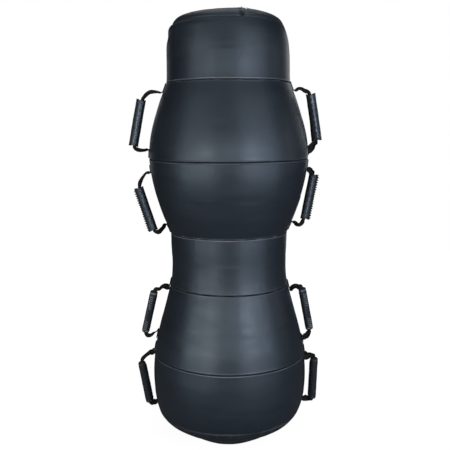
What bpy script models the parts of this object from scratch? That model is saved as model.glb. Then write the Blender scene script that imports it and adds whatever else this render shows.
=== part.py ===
"""Hourglass throwing bag for grappling and striking practice.

Eight leather panels are sewn end to end into a torso shape that stands on a flat base. A lining
sack and packed textile fill it. A zip across the crown closes it, and eight webbing handles with
rolled leather grips are sewn to its sides, four a side.

Metres, +Z up, the origin at the centre of the flat base. Left and right are as seen from the
front, which faces -Y.
"""
import math
from collections import namedtuple

import bmesh
import bpy
from mathutils import Matrix, Vector

# Heights of the panels, from the floor to the crown
BASE_RISE = 0.047
LOWER_HIP_HEIGHT = 0.203
UPPER_HIP_HEIGHT = 0.200
WAIST_HEIGHT = 0.148
CHEST_HEIGHT = 0.204
SHOULDER_HEIGHT = 0.206
HEAD_HEIGHT = 0.152
CROWN_RISE = 0.040

# Outer radius of the bag at each seam
FLAT_RADIUS = 0.098
BASE_SEAM_RADIUS = 0.163
HIP_SEAM_RADIUS = 0.217
WAIST_FOOT_RADIUS = 0.167
WAIST_TOP_RADIUS = 0.164
CHEST_SEAM_RADIUS = 0.220
SHOULDER_SEAM_RADIUS = 0.169
CROWN_SEAM_RADIUS = 0.150
CROWN_DOME_RADIUS = 0.126
CROWN_BEND = 0.42

# Leather, lining and filling
LEATHER = 0.002
LINING = 0.001
SEAT_GAP = 0.0003
SEAM_ROLL_DEPTH = 0.0012
SEAM_ROLL_LENGTH = 0.004
CROWN_FILL_GAP = 0.0072
BAG_SIDES = 36
INNER_SIDES = 18
CURVE_PULL = 0.36

# Zip across the crown, turned from straight ahead
ZIP_TURN = math.radians(22)
ZIP_SLOT_LENGTH = 0.214
ZIP_SLOT_WIDTH = 0.014
ZIP_TAPE_OVERLAP = 0.008
ZIP_TAPE_THICKNESS = 0.0008
ZIP_TAPE_DEPTH = 0.0029
ZIP_TOOTH_COUNT = 32
ZIP_TOOTH_WIDTH = 0.0025
ZIP_TOOTH_HEIGHT = 0.0026
ZIP_RIB_INNER = 0.0022
ZIP_RIB_OUTER = 0.0042
ZIP_TOOTH_REACH = 0.0018
ZIP_STOP_LENGTH = 0.003
ZIP_STOP_MARGIN = 0.004
SLIDER_LENGTH = 0.016
SLIDER_WIDTH = 0.013
SLIDER_PLATE = 0.0014
SLIDER_CLEARANCE = 0.00035
SLIDER_FLANGE = 0.0014
BAIL_WIDTH = 0.0024
BAIL_THICKNESS = 0.0011
BAIL_OPENING = 0.0048
BAIL_CLEAR_HEIGHT = 0.0028
PULL_LENGTH = 0.030
PULL_WIDTH = 0.0085
PULL_THICKNESS = 0.0015
PULL_BAR = 0.0015
PULL_EYE_LENGTH = 0.0038
PULL_EYE_WIDTH = 0.0038
PULL_DROOP = math.radians(1.5)

# Handles: webbing sewn to the bag, with a rolled leather grip round a firm core
WEBBING_WIDTH = 0.025
WEBBING_THICKNESS = 0.0025
BUNDLE_WIDTH = 0.012
BUNDLE_THICKNESS = 0.0095
SEWN_END_LENGTH = 0.019
SEWN_END_CLEAR = 0.0046
STRAP_BOW = 0.45
STRAP_STEPS = 6
GRIP_LENGTH = 0.127
GRIP_RADIUS = 0.0115
GRIP_LEATHER = 0.002
GRIP_SIDES = 12
GRIP_SEAM_REACH = 0.0035
GRIP_SEAM_HALF = 0.0018
CORE_WALL = 0.002
CORE_INSET = 0.005
GATHER_LENGTH = 0.0036
GATHER_BORE = 0.0072

# Colours: linear base colour, roughness, metallic
FINISHES = {
    "bag_leather": ((0.020, 0.024, 0.031), 0.42, 0.0),
    "grip_leather": ((0.022, 0.028, 0.038), 0.40, 0.0),
    "webbing": ((0.010, 0.010, 0.011), 0.85, 0.0),
    "grip_core": ((0.045, 0.045, 0.047), 0.70, 0.0),
    "lining": ((0.090, 0.090, 0.095), 0.90, 0.0),
    "filling": ((0.32, 0.29, 0.25), 0.95, 0.0),
    "zip_tape": ((0.012, 0.012, 0.013), 0.85, 0.0),
    "zip_teeth": ((0.014, 0.014, 0.015), 0.45, 0.0),
    "zip_metal": ((0.32, 0.33, 0.35), 0.30, 1.0),
}

# A panel runs from its bottom seam to its top seam. The leans are degrees from vertical,
# positive where the wall goes outwards as it rises.
Panel = namedtuple("Panel", "name height bottom_radius top_radius bottom_lean top_lean steps")
PANELS = [
    Panel("base_panel", BASE_RISE, FLAT_RADIUS, BASE_SEAM_RADIUS, 40, 52, 2),
    Panel("lower_hip_panel", LOWER_HIP_HEIGHT, BASE_SEAM_RADIUS, HIP_SEAM_RADIUS, 63, -4, 6),
    Panel("upper_hip_panel", UPPER_HIP_HEIGHT, HIP_SEAM_RADIUS, WAIST_FOOT_RADIUS, -10, -13, 4),
    Panel("waist_panel", WAIST_HEIGHT, WAIST_FOOT_RADIUS, WAIST_TOP_RADIUS, -12, 1, 2),
    Panel("chest_panel", CHEST_HEIGHT, WAIST_TOP_RADIUS, CHEST_SEAM_RADIUS, 24, 5, 4),
    Panel("shoulder_panel", SHOULDER_HEIGHT, CHEST_SEAM_RADIUS, SHOULDER_SEAM_RADIUS, -1, -22, 6),
    Panel("head_panel", HEAD_HEIGHT, SHOULDER_SEAM_RADIUS, CROWN_SEAM_RADIUS, -6, -23, 4),
]
CROWN_SEAM = sum(panel.height for panel in PANELS)
TOP = CROWN_SEAM + CROWN_RISE
CROWN_CENTRE = Vector((0, 0, TOP - CROWN_BEND))
CHAIN_HALF = ZIP_SLOT_LENGTH / 2 - ZIP_STOP_MARGIN - ZIP_STOP_LENGTH
ZIP_TOOTH_PITCH = 2 * CHAIN_HALF / ZIP_TOOTH_COUNT
CHAIN_END = CHAIN_HALF + SEAT_GAP
SLIDER_AT = CHAIN_END - SLIDER_LENGTH / 2 - SEAT_GAP
WEDGE_AT = SLIDER_LENGTH * 0.31
WEDGE_LENGTH = SLIDER_LENGTH * 0.28

# A handle is sewn on at two heights above the bottom seam of its panel. Its grip's middle is
# given from the middle of the line between them, outwards and along, and its tilt and the
# strap's rise and drop where it leaves the bag are degrees from that line and its normal.
Handle = namedtuple("Handle", "name side panel low high out along tilt rise drop gathered")
HANDLES = [
    Handle("shoulder_left", -1, "shoulder_panel", 0.029, 0.184, 0.0496, -0.0185, -3.3, -6, 26, False),
    Handle("shoulder_right", 1, "shoulder_panel", 0.034, 0.187, 0.0370, -0.0064, -6.0, 10, 32, False),
    Handle("chest_left", -1, "chest_panel", 0.024, 0.167, 0.0452, -0.0186, -1.5, -2, 28, False),
    Handle("chest_right", 1, "chest_panel", 0.030, 0.180, 0.0298, 0.0010, 4.5, 9, 20, False),
    Handle("upper_hip_left", -1, "upper_hip_panel", 0.058, 0.189, 0.0396, -0.0223, -1.7, -15, 35, True),
    Handle("upper_hip_right", 1, "upper_hip_panel", 0.042, 0.181, 0.0333, -0.0013, -3.7, 12, 35, True),
    Handle("lower_hip_left", -1, "lower_hip_panel", 0.049, 0.199, 0.0381, -0.0224, -5.8, -21, 35, True),
    Handle("lower_hip_right", 1, "lower_hip_panel", 0.056, 0.190, 0.0348, -0.0120, 1.6, 8, 30, True),
]

bag = None
cutters = None


# Scene and materials
def clear_scene():
    for obj in list(bpy.data.objects):
        bpy.data.objects.remove(obj, do_unlink=True)


def new_collection(name):
    collection = bpy.data.collections.new(name)
    bpy.context.scene.collection.children.link(collection)
    return collection


def material(finish):
    found = bpy.data.materials.get(finish)
    if found:
        return found
    colour, roughness, metallic = FINISHES[finish]
    made = bpy.data.materials.new(finish)
    made.use_nodes = True
    shader = made.node_tree.nodes["Principled BSDF"]
    shader.inputs["Base Color"].default_value = (*colour, 1)
    shader.inputs["Roughness"].default_value = roughness
    shader.inputs["Metallic"].default_value = metallic
    made.diffuse_color = (*colour, 1)
    return made


def add_object(name, mesh, finish, smooth_below=40):
    obj = bpy.data.objects.new(name, mesh)
    bag.objects.link(obj)
    mesh.materials.clear()
    mesh.materials.append(material(finish))
    mesh.shade_smooth()
    mesh.set_sharp_from_angle(angle=math.radians(smooth_below))
    return obj


def evaluated_mesh(obj):
    graph = bpy.context.evaluated_depsgraph_get()
    graph.update()
    return bpy.data.meshes.new_from_object(obj.evaluated_get(graph))


def mesh_from_bmesh(name, bm):
    """Mesh with its faces pointing out, also where it bends back on itself."""
    bmesh.ops.recalc_face_normals(bm, faces=bm.faces)
    if bm.calc_volume(signed=True) < 0:
        bmesh.ops.reverse_faces(bm, faces=bm.faces)
    mesh = bpy.data.meshes.new(name)
    bm.to_mesh(mesh)
    bm.free()
    return mesh


# Turned shapes
def turned(name, outline, finish, sides, closed):
    """Turns an outline of (radius, height) points, clockwise with the axis on its left."""
    mesh = bpy.data.meshes.new(name)
    edges = [(i, i + 1) for i in range(len(outline) - 1)]
    if closed:
        edges.append((len(outline) - 1, 0))
    mesh.from_pydata([(radius, 0, height) for radius, height in outline], edges, [])
    obj = bpy.data.objects.new(name, mesh)
    bag.objects.link(obj)
    mesh.materials.append(material(finish))
    screw = obj.modifiers.new("turn", "SCREW")
    screw.steps = sides
    screw.render_steps = sides
    screw.use_merge_vertices = True
    screw.merge_threshold = 0.00001
    screw.use_smooth_shade = True
    return obj


def curve_points(start, start_lean, end, end_lean, steps, pull=CURVE_PULL):
    """Points of a cubic curve between two (across, up) points, with leans from vertical."""
    span = (end - start).length * pull
    lean_a, lean_b = math.radians(start_lean), math.radians(end_lean)
    control_a = start + span * Vector((math.sin(lean_a), math.cos(lean_a)))
    control_b = end - span * Vector((math.sin(lean_b), math.cos(lean_b)))
    points = []
    for step in range(steps + 1):
        t = step / steps
        points.append((1 - t) ** 3 * start + 3 * (1 - t) ** 2 * t * control_a
                      + 3 * (1 - t) * t ** 2 * control_b + t ** 3 * end)
    return points


def dome_height(radius):
    return CROWN_CENTRE.z + math.sqrt(CROWN_BEND ** 2 - radius ** 2)


def crown_outline(dome_steps=6, edge_steps=2):
    """Outer line of the crown, from its seam up to the axis."""
    dome_edge = Vector((CROWN_DOME_RADIUS, dome_height(CROWN_DOME_RADIUS)))
    dome_lean = -90 + math.degrees(math.asin(CROWN_DOME_RADIUS / CROWN_BEND))
    seam = Vector((CROWN_SEAM_RADIUS, CROWN_SEAM))
    line = curve_points(seam, -23, dome_edge, dome_lean, edge_steps)
    for step in range(1, dome_steps + 1):
        radius = CROWN_DOME_RADIUS * (1 - step / dome_steps)
        line.append(Vector((radius, dome_height(radius))))
    return line


def panel_outlines():
    """Outer line of each panel from bottom to top, by panel name."""
    lines = {}
    height = 0
    for panel in PANELS:
        start = Vector((panel.bottom_radius, height))
        height += panel.height
        end = Vector((panel.top_radius, height))
        lines[panel.name] = curve_points(start, panel.bottom_lean, end, panel.top_lean, panel.steps)
    lines["base_panel"].insert(0, Vector((0, 0)))
    lines["crown_panel"] = crown_outline()
    return lines


def outward(a, b):
    run = (b - a).normalized()
    return Vector((run.y, -run.x))


def offset_line(line, distance):
    """Moves a line outwards, keeping its parts at that distance; ends move level or on the axis."""
    moved = []
    for i, point in enumerate(line):
        before = outward(line[i - 1], point) if i > 0 else None
        after = outward(point, line[i + 1]) if i < len(line) - 1 else None
        if before and after:
            middle = (before + after).normalized()
            moved.append(point + middle * (distance / middle.dot(before)))
            continue
        normal = before or after
        if point.x < SEAT_GAP:
            moved.append(Vector((0, point.y + distance * math.copysign(1, normal.y))))
        else:
            moved.append(point + Vector((distance / normal.x, 0)))
    return moved


def seam_end(line, at_top):
    """Rolls one end of a panel's outer line in towards its seam and leaves the seam's gap."""
    end, near = (line[-1], line[-2]) if at_top else (line[0], line[1])
    normal = outward(near, end) if at_top else outward(end, near)
    roll_start = end + (near - end).normalized() * SEAM_ROLL_LENGTH
    gap = -SEAT_GAP / 2 if at_top else SEAT_GAP / 2
    rolled = Vector((end.x - SEAM_ROLL_DEPTH / normal.x, end.y + gap))
    return line[:-1] + [roll_start, rolled] if at_top else [rolled, roll_start] + line[1:]


def panel_wall(line):
    """Closed or axis-to-axis outline of a leather panel with the given outer line."""
    inner = offset_line(line, -LEATHER)
    outer = list(line)
    if line[0].x > 0:
        outer = seam_end(outer, at_top=False)
        inner[0].y += SEAT_GAP / 2
    if line[-1].x > 0:
        outer = seam_end(outer, at_top=True)
        inner[-1].y -= SEAT_GAP / 2
    if line[0].x == 0:
        return inner + outer[::-1]
    return outer[::-1] + inner


def inner_line(lines, depth, crown_depth=None):
    """The bag's whole outer line moved in by a depth, and thinned where it bulges outwards.

    A chord across a bulge stays inside the leather. Where the line is hollow, each point stays.
    """
    whole, even = [], []
    for name in [panel.name for panel in PANELS] + ["crown_panel"]:
        for i, point in enumerate(lines[name]):
            if not whole or i > 0:
                whole.append(point)
                even.append(i % 2 == 0)
    moved = offset_line(whole, -depth)
    if crown_depth:
        deeper = offset_line(whole, -crown_depth)
        moved = [deep if point.y > CROWN_SEAM + SEAT_GAP else near
                 for point, near, deep in zip(whole, moved, deeper)]
    thinned = []
    for i, point in enumerate(moved):
        inside = 0 < i < len(whole) - 1
        hollow = inside and (whole[i] - whole[i - 1]).cross(whole[i + 1] - whole[i]) < 0
        if even[i] or hollow or whole[i].y < BASE_RISE:
            thinned.append(point)
    return thinned


def build_panels(lines):
    for name, line in lines.items():
        closed = line[0].x > 0 and line[-1].x > 0
        turned(name, panel_wall(line), "bag_leather", BAG_SIDES, closed)


def build_inside(lines):
    depth = LEATHER + SEAT_GAP
    outer = inner_line(lines, depth)
    inner = inner_line(lines, depth + LINING)
    turned("lining_sack", inner + outer[::-1], "lining", INNER_SIDES, closed=False)
    core = inner_line(lines, depth + LINING + SEAT_GAP, CROWN_FILL_GAP)
    turned("textile_filling", core[::-1], "filling", INNER_SIDES, closed=False)


# The crown's zip: x along it, y across it and z out of the crown, bent over the dome
def on_crown(point):
    across = math.sin(point.y / CROWN_BEND)
    along = math.sin(point.x / CROWN_BEND)
    up = math.sqrt(1 - across ** 2 - along ** 2)
    return CROWN_CENTRE + Vector((along, across, up)) * (CROWN_BEND + point.z)


def zip_frame():
    """Turns the zip's own frame so that +X runs to its closed end at the front."""
    return Matrix.Rotation(ZIP_TURN - math.pi / 2, 4, "Z")


def bend_over_crown(mesh):
    frame = zip_frame()
    for vertex in mesh.vertices:
        vertex.co = frame @ on_crown(vertex.co)
    mesh.update()


def slot_cutter(name, length, width):
    bm = bmesh.new()
    bmesh.ops.create_cube(bm, size=1)
    height = 2 * CROWN_RISE
    bmesh.ops.scale(bm, vec=(length, width, height), verts=bm.verts)
    bmesh.ops.translate(bm, vec=(0, 0, TOP), verts=bm.verts)
    cutter = bpy.data.objects.new(name, mesh_from_bmesh(name, bm))
    cutters.objects.link(cutter)
    cutter.matrix_world = zip_frame()
    cutter.hide_render = True
    cutter.display_type = "WIRE"
    return cutter


def cut(target_name, cutter):
    modifier = bpy.data.objects[target_name].modifiers.new("slot", "BOOLEAN")
    modifier.operation = "DIFFERENCE"
    modifier.solver = "EXACT"
    modifier.object = cutter


def plate_mesh(name, outlines, thickness):
    """A flat plate, centred in z, whose outlines after the first are holes."""
    curve = bpy.data.curves.new(name, "CURVE")
    curve.dimensions = "2D"
    curve.fill_mode = "BOTH"
    curve.extrude = thickness / 2
    for outline in outlines:
        spline = curve.splines.new("POLY")
        spline.points.add(len(outline) - 1)
        for point, (x, y) in zip(spline.points, outline):
            point.co = (x, y, 0, 1)
        spline.use_cyclic_u = True
    helper = bpy.data.objects.new(name, curve)
    bag.objects.link(helper)
    bm = bmesh.new()
    bm.from_mesh(evaluated_mesh(helper))
    bpy.data.objects.remove(helper)
    bmesh.ops.remove_doubles(bm, verts=bm.verts, dist=0.00001)
    return mesh_from_bmesh(name, bm)


def rectangle(x0, x1, y0, y1):
    return [(x0, y0), (x1, y0), (x1, y1), (x0, y1)]


def cells_mesh(name, cells, thickness):
    """A flat plate made of rectangles that share their corners, centred in z."""
    bm = bmesh.new()
    for cell in cells:
        bm.faces.new([bm.verts.new((x, y, -thickness / 2)) for x, y in rectangle(*cell)])
    bmesh.ops.remove_doubles(bm, verts=bm.verts, dist=0.00001)
    raised = bmesh.ops.extrude_face_region(bm, geom=bm.faces[:], use_keep_orig=True)
    verts = [item for item in raised["geom"] if isinstance(item, bmesh.types.BMVert)]
    bmesh.ops.translate(bm, vec=(0, 0, thickness), verts=verts)
    return mesh_from_bmesh(name, bm)


def tooth_row_cells(side, shift):
    """One half of the chain: a rib along the tape's edge with teeth reaching past the middle.

    Where the slider's wedge holds the rows apart there is only the rib.
    """
    parted = SLIDER_AT + WEDGE_AT - WEDGE_LENGTH / 2 - SLIDER_CLEARANCE
    stations = [-CHAIN_HALF]
    teeth = []
    for tooth in range(ZIP_TOOTH_COUNT):
        middle = (tooth + 0.5) * ZIP_TOOTH_PITCH + shift - CHAIN_HALF
        start, end = middle - ZIP_TOOTH_WIDTH / 2, middle + ZIP_TOOTH_WIDTH / 2
        if end < parted:
            stations += [start, end]
            teeth.append((start, end, -side * ZIP_TOOTH_REACH, side * ZIP_RIB_INNER))
    stations.append(CHAIN_HALF)
    rib = [(a, b, side * ZIP_RIB_INNER, side * ZIP_RIB_OUTER) for a, b in zip(stations, stations[1:])]
    return rib + teeth


def tape_cells(side, steps=12):
    half = (ZIP_SLOT_LENGTH + ZIP_TAPE_OVERLAP) / 2
    inner = side * (ZIP_RIB_OUTER + SEAT_GAP)
    outer = side * (ZIP_SLOT_WIDTH / 2 + ZIP_TAPE_OVERLAP)
    stations = [half * (2 * step / steps - 1) for step in range(steps + 1)]
    return [(a, b, inner, outer) for a, b in zip(stations, stations[1:])]


def move(mesh, offset):
    mesh.transform(Matrix.Translation(offset))


def seat_in_zip(name, mesh, finish, smooth_below=40):
    """Sinks a flat piece of the zip to the chain's depth and bends it over the crown."""
    move(mesh, (0, 0, -ZIP_TAPE_DEPTH))
    bend_over_crown(mesh)
    add_object(name, mesh, finish, smooth_below)


def build_zip_chain():
    for hand, side in (("left", -1), ("right", 1)):
        name = "zip_teeth_" + hand
        teeth = cells_mesh(name, tooth_row_cells(side, side * ZIP_TOOTH_PITCH / 4), ZIP_TOOTH_HEIGHT)
        seat_in_zip(name, teeth, "zip_teeth", smooth_below=30)
        name = "zip_tape_" + hand
        seat_in_zip(name, cells_mesh(name, tape_cells(side), ZIP_TAPE_THICKNESS), "zip_tape")
    for end, side in (("front", 1), ("back", -1)):
        name = "zip_stop_" + end
        reach = sorted((side * CHAIN_END, side * (CHAIN_END + ZIP_STOP_LENGTH)))
        stop = cells_mesh(name, [(*reach, -ZIP_RIB_OUTER, ZIP_RIB_OUTER)], ZIP_TOOTH_HEIGHT)
        seat_in_zip(name, stop, "zip_metal")


def box_mesh(name, low, high):
    bm = bmesh.new()
    bmesh.ops.create_cube(bm, size=1)
    low, high = Vector(low), Vector(high)
    bmesh.ops.scale(bm, vec=high - low, verts=bm.verts)
    bmesh.ops.translate(bm, vec=(low + high) / 2, verts=bm.verts)
    return mesh_from_bmesh(name, bm)


def fused(name, meshes):
    """Joins meshes that overlap into one closed mesh."""
    pieces = []
    for mesh in meshes:
        piece = bpy.data.objects.new(name + "_piece", mesh)
        bag.objects.link(piece)
        pieces.append(piece)
    for other in pieces[1:]:
        union = pieces[0].modifiers.new("join", "BOOLEAN")
        union.operation = "UNION"
        union.solver = "EXACT"
        union.object = other
    joined = evaluated_mesh(pieces[0])
    for piece in pieces:
        bpy.data.objects.remove(piece)
    joined.name = name
    return joined


def shield_outline(half_length, half_width, nose):
    """A slider plate seen from above: square at the tail, tapered at the nose."""
    return [(-half_length, -half_width), (half_length * nose, -half_width),
            (half_length, -half_width * nose), (half_length, half_width * nose),
            (half_length * nose, half_width), (-half_length, half_width)]


def slider_mesh():
    """Two plates with flanges round the chain, a wedge between them and a bail on top.

    x runs to the zip's closed end, and z = 0 is the middle of the chain.
    """
    half_length, half_width = SLIDER_LENGTH / 2, SLIDER_WIDTH / 2
    inner = ZIP_TOOTH_HEIGHT / 2 + SLIDER_CLEARANCE
    tape_clear = ZIP_TAPE_THICKNESS / 2 + SLIDER_CLEARANCE
    overlap = SLIDER_PLATE / 4
    outline = shield_outline(half_length, half_width, nose=0.55)
    meshes = []
    for side in (1, -1):
        plate = plate_mesh("plate", [outline], SLIDER_PLATE)
        move(plate, (0, 0, side * (inner + SLIDER_PLATE / 2)))
        meshes.append(plate)
        for edge in (1, -1):
            heights = sorted((side * tape_clear, side * (inner + overlap)))
            across = sorted((edge * (half_width - SLIDER_FLANGE), edge * (half_width - overlap / 2)))
            meshes.append(box_mesh("flange", (-half_length + overlap, across[0], heights[0]),
                                   (half_length * 0.5, across[1], heights[1])))
    wedge = shield_outline(WEDGE_LENGTH / 2, ZIP_RIB_INNER - SLIDER_CLEARANCE, nose=0.4)
    post = plate_mesh("wedge", [wedge], 2 * (inner + overlap))
    move(post, (WEDGE_AT, 0, 0))
    meshes.append(post)
    meshes.append(bail_mesh(inner + SLIDER_PLATE))
    return fused("zip_slider", meshes)


def bail_mesh(plate_top):
    """The low arch on the slider that the pull hangs on, with its feet sunk in the plate."""
    inner, outer = BAIL_OPENING / 2, BAIL_OPENING / 2 + BAIL_THICKNESS
    foot = -SLIDER_PLATE / 4
    under, over = BAIL_CLEAR_HEIGHT, BAIL_CLEAR_HEIGHT + BAIL_THICKNESS
    shoulder = under + BAIL_THICKNESS / 4
    outline = [(-outer, foot), (-inner, foot), (-inner, under), (inner, under), (inner, foot),
               (outer, foot), (outer, shoulder), (inner, over), (-inner, over), (-outer, shoulder)]
    mesh = plate_mesh("bail", [outline], BAIL_WIDTH)
    mesh.transform(Matrix.Rotation(math.pi / 2, 4, "X"))
    move(mesh, (0, 0, plate_top))
    return mesh


def pull_mesh():
    """Flat tapered tab whose end bar sits under the slider's bail, on the local origin."""
    bar = PULL_BAR / 2
    eye_half, width = PULL_EYE_WIDTH / 2, PULL_WIDTH / 2
    tip = PULL_LENGTH - bar
    outline = [(-bar, -width * 0.7), (bar, -width * 0.8), (tip * 0.8, -width), (tip, -width * 0.6),
               (tip, width * 0.6), (tip * 0.8, width), (bar, width * 0.8), (-bar, width * 0.7)]
    eye = rectangle(bar, bar + PULL_EYE_LENGTH, -eye_half, eye_half)
    return plate_mesh("zip_pull", [outline, eye], PULL_THICKNESS)


def add_pivot(name, matrix):
    pivot = bpy.data.objects.new(name, None)
    pivot.empty_display_size = 0.02
    bag.objects.link(pivot)
    pivot.matrix_world = matrix
    return pivot


def build_slider():
    swing = Matrix.Rotation(SLIDER_AT / CROWN_BEND, 4, "Y")
    crown_frame = Matrix.Translation(CROWN_CENTRE) @ zip_frame() @ swing
    travel = add_pivot("zip_travel_axis", crown_frame)
    slider = add_object("zip_slider", slider_mesh(), "zip_metal")
    slider.data.transform(Matrix.Translation((0, 0, CROWN_BEND - ZIP_TAPE_DEPTH)))
    slider.parent = travel
    plate_top = (CROWN_BEND - ZIP_TAPE_DEPTH + ZIP_TOOTH_HEIGHT / 2 + SLIDER_CLEARANCE
                 + SLIDER_PLATE)
    hinge_up = plate_top + BAIL_CLEAR_HEIGHT / 2
    pull = add_object("zip_pull", pull_mesh(), "zip_metal")
    pull.parent = travel
    pull.location = (0, 0, hinge_up)
    pull.rotation_euler = (0, PULL_DROOP, 0)


# Handles
def bag_outline(lines):
    """The whole outer line of the bag's side, from the flat base up to the crown."""
    whole = list(lines["base_panel"][1:])
    for panel in PANELS[1:]:
        whole += lines[panel.name][1:]
    return whole


def surface_radius(outline, height):
    for low, high in zip(outline, outline[1:]):
        if low.y <= height <= high.y:
            return low.x + (high.x - low.x) * (height - low.y) / (high.y - low.y)
    return outline[-1].x


def seam_height(panel_name):
    height = 0
    for panel in PANELS:
        if panel.name == panel_name:
            return height
        height += panel.height
    raise ValueError(panel_name)


def sewn_points(handle, outline):
    base = seam_height(handle.panel)
    low, high = base + handle.low, base + handle.high
    return (Vector((handle.side * surface_radius(outline, low), 0, low)),
            Vector((handle.side * surface_radius(outline, high), 0, high)))


def handle_frame(handle, outline):
    """Frame on the handle's swing axis: z up the line between the sewn ends, x outwards."""
    low, high = sewn_points(handle, outline)
    up = (high - low).normalized()
    across = Vector((0, handle.side, 0))
    out = across.cross(up)
    turn = Matrix((out, across, up)).transposed().to_4x4()
    return Matrix.Translation((low + high) / 2) @ turn, (high - low).length


def loft(name, rings):
    """Closed mesh through rings of points, with a face at each end."""
    bm = bmesh.new()
    rows = [[bm.verts.new(point) for point in ring] for ring in rings]
    count = len(rings[0])
    for a, b in zip(rows, rows[1:]):
        for i in range(count):
            j = (i + 1) % count
            bm.faces.new((a[i], a[j], b[j], b[i]))
    bm.faces.new(rows[0][::-1])
    bm.faces.new(rows[-1])
    return mesh_from_bmesh(name, bm)


def tube(name, outer_rings, inner_rings):
    """Closed mesh between outer and inner rings with as many points each."""
    bm = bmesh.new()
    loop = outer_rings + inner_rings[::-1]
    rows = [[bm.verts.new(point) for point in ring] for ring in loop]
    count = len(rows[0])
    for a, b in zip(rows, rows[1:] + rows[:1]):
        for i in range(count):
            j = (i + 1) % count
            bm.faces.new((a[i], a[j], b[j], b[i]))
    return mesh_from_bmesh(name, bm)


def strap_ring(centre, run, width, thickness):
    """Six-sided strap section: its width lies along y and its thickness across the run."""
    across = Vector((0, 1, 0))
    normal = Vector((run.z, 0, -run.x))
    edge = max(width / 2 - thickness / 2, width / 4)
    corners = [(width / 2, 0), (edge, thickness / 2), (-edge, thickness / 2),
               (-width / 2, 0), (-edge, -thickness / 2), (edge, -thickness / 2)]
    return [centre + across * y + normal * x for y, x in corners]


def grip_ends(handle):
    """Bottom and top of the grip's axis in the handle's frame."""
    middle = Vector((handle.out, 0, handle.along))
    tilt = math.radians(handle.tilt)
    half = Vector((-math.sin(tilt), 0, math.cos(tilt))) * (GRIP_LENGTH / 2)
    return middle - half, middle + half


def wall_angle(handle, outline, height, frame):
    """How far the bag's wall at a height faces up from the handle's outwards axis."""
    rise = 2 * SEAT_GAP
    run = Vector((surface_radius(outline, height + rise), height + rise))
    run -= Vector((surface_radius(outline, height - rise), height - rise))
    facing = Vector((handle.side * run.y, 0, -run.x))
    local = frame.to_3x3().inverted() @ facing
    return math.atan2(local.z, local.x)


def strap_half(anchor, leave_angle, facing, grip_end, grip_run, face):
    """Rings from the bag to one end of the grip, the flat webbing folding into a bundle.

    Its root stands just clear of a wall that faces the given angle. face is 1 or -1, so that
    both halves of a loop show the same face of the webbing.
    """
    leave = Vector((math.cos(leave_angle), 0, math.sin(leave_angle)))
    slant = abs(leave_angle - facing)
    root = (1.5 * SEAT_GAP + WEBBING_THICKNESS / 2 * math.sin(slant)) / math.cos(slant)
    start = anchor + leave * root
    span = (grip_end - start).length * STRAP_BOW
    controls = (start, start + leave * span, grip_end + grip_run * span, grip_end)
    rings = []
    for step in range(STRAP_STEPS + 1):
        t = step / STRAP_STEPS
        weights = ((1 - t) ** 3, 3 * (1 - t) ** 2 * t, 3 * (1 - t) * t ** 2, t ** 3)
        point = sum((w * c for w, c in zip(weights, controls)), Vector())
        slopes = ((1 - t) ** 2, 2 * (1 - t) * t, t ** 2)
        run = sum((s * (b - a) for s, a, b in zip(slopes, controls, controls[1:])), Vector())
        folded = t * t * (3 - 2 * t)
        width = WEBBING_WIDTH + (BUNDLE_WIDTH - WEBBING_WIDTH) * folded
        thickness = WEBBING_THICKNESS + (BUNDLE_THICKNESS - WEBBING_THICKNESS) * folded
        rings.append(strap_ring(point, run.normalized() * face, width, thickness))
    return rings


def strap_loop_mesh(handle, outline, frame, span):
    low_end, high_end = grip_ends(handle)
    up = (high_end - low_end).normalized()
    low, high = sewn_points(handle, outline)
    top = strap_half(Vector((0, 0, span / 2)), math.radians(handle.rise),
                     wall_angle(handle, outline, high.z, frame), high_end, up, 1)
    bottom = strap_half(Vector((0, 0, -span / 2)), math.radians(-handle.drop),
                        wall_angle(handle, outline, low.z, frame), low_end, -up, -1)
    return loft("strap_loop_" + handle.name, top + bottom[::-1])


def grip_section(radius, seam=0.0, sides=GRIP_SIDES):
    """A ring of (out, across) points; a seam edge stands out on +x, or lies flush at zero."""
    first = math.pi / sides
    points = []
    for i in range(sides):
        angle = first + 2 * math.pi * i / sides
        points.append((radius * math.cos(angle), radius * math.sin(angle)))
    face = radius * math.cos(first)
    half = GRIP_SEAM_HALF if seam else radius * math.sin(first) / 3
    return points + [(face + seam, -half), (face + seam, half)]


def along_grip(section, low_end, up, distance):
    out = Vector((up.z, 0, -up.x))
    across = Vector((0, 1, 0))
    centre = low_end + up * distance
    return [centre + out * x + across * y for x, y in section]


def mirrored_stations(stations):
    return stations + [(GRIP_LENGTH - at, *rest) for at, *rest in reversed(stations)]


def grip_sleeve_mesh(handle):
    low_end, high_end = grip_ends(handle)
    up = (high_end - low_end).normalized()
    bore = GRIP_RADIUS - GRIP_LEATHER
    if handle.gathered:
        outer = mirrored_stations([(0, GATHER_BORE + GRIP_LEATHER, 0.0005),
                                   (GATHER_LENGTH * 0.4, GRIP_RADIUS * 0.93, GRIP_SEAM_REACH * 0.6),
                                   (GATHER_LENGTH * 1.3, GRIP_RADIUS, GRIP_SEAM_REACH)])
        inner = mirrored_stations([(0, GATHER_BORE), (GATHER_LENGTH, GATHER_BORE),
                                   (GATHER_LENGTH + SEAT_GAP, bore)])
    else:
        outer = mirrored_stations([(0, GRIP_RADIUS, GRIP_SEAM_REACH)])
        inner = mirrored_stations([(0, bore)])
    outer_rings = [along_grip(grip_section(r, seam), low_end, up, at) for at, r, seam in outer]
    inner_rings = [along_grip(grip_section(r), low_end, up, at) for at, r in inner]
    return tube("grip_sleeve_" + handle.name, outer_rings, inner_rings)


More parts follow.
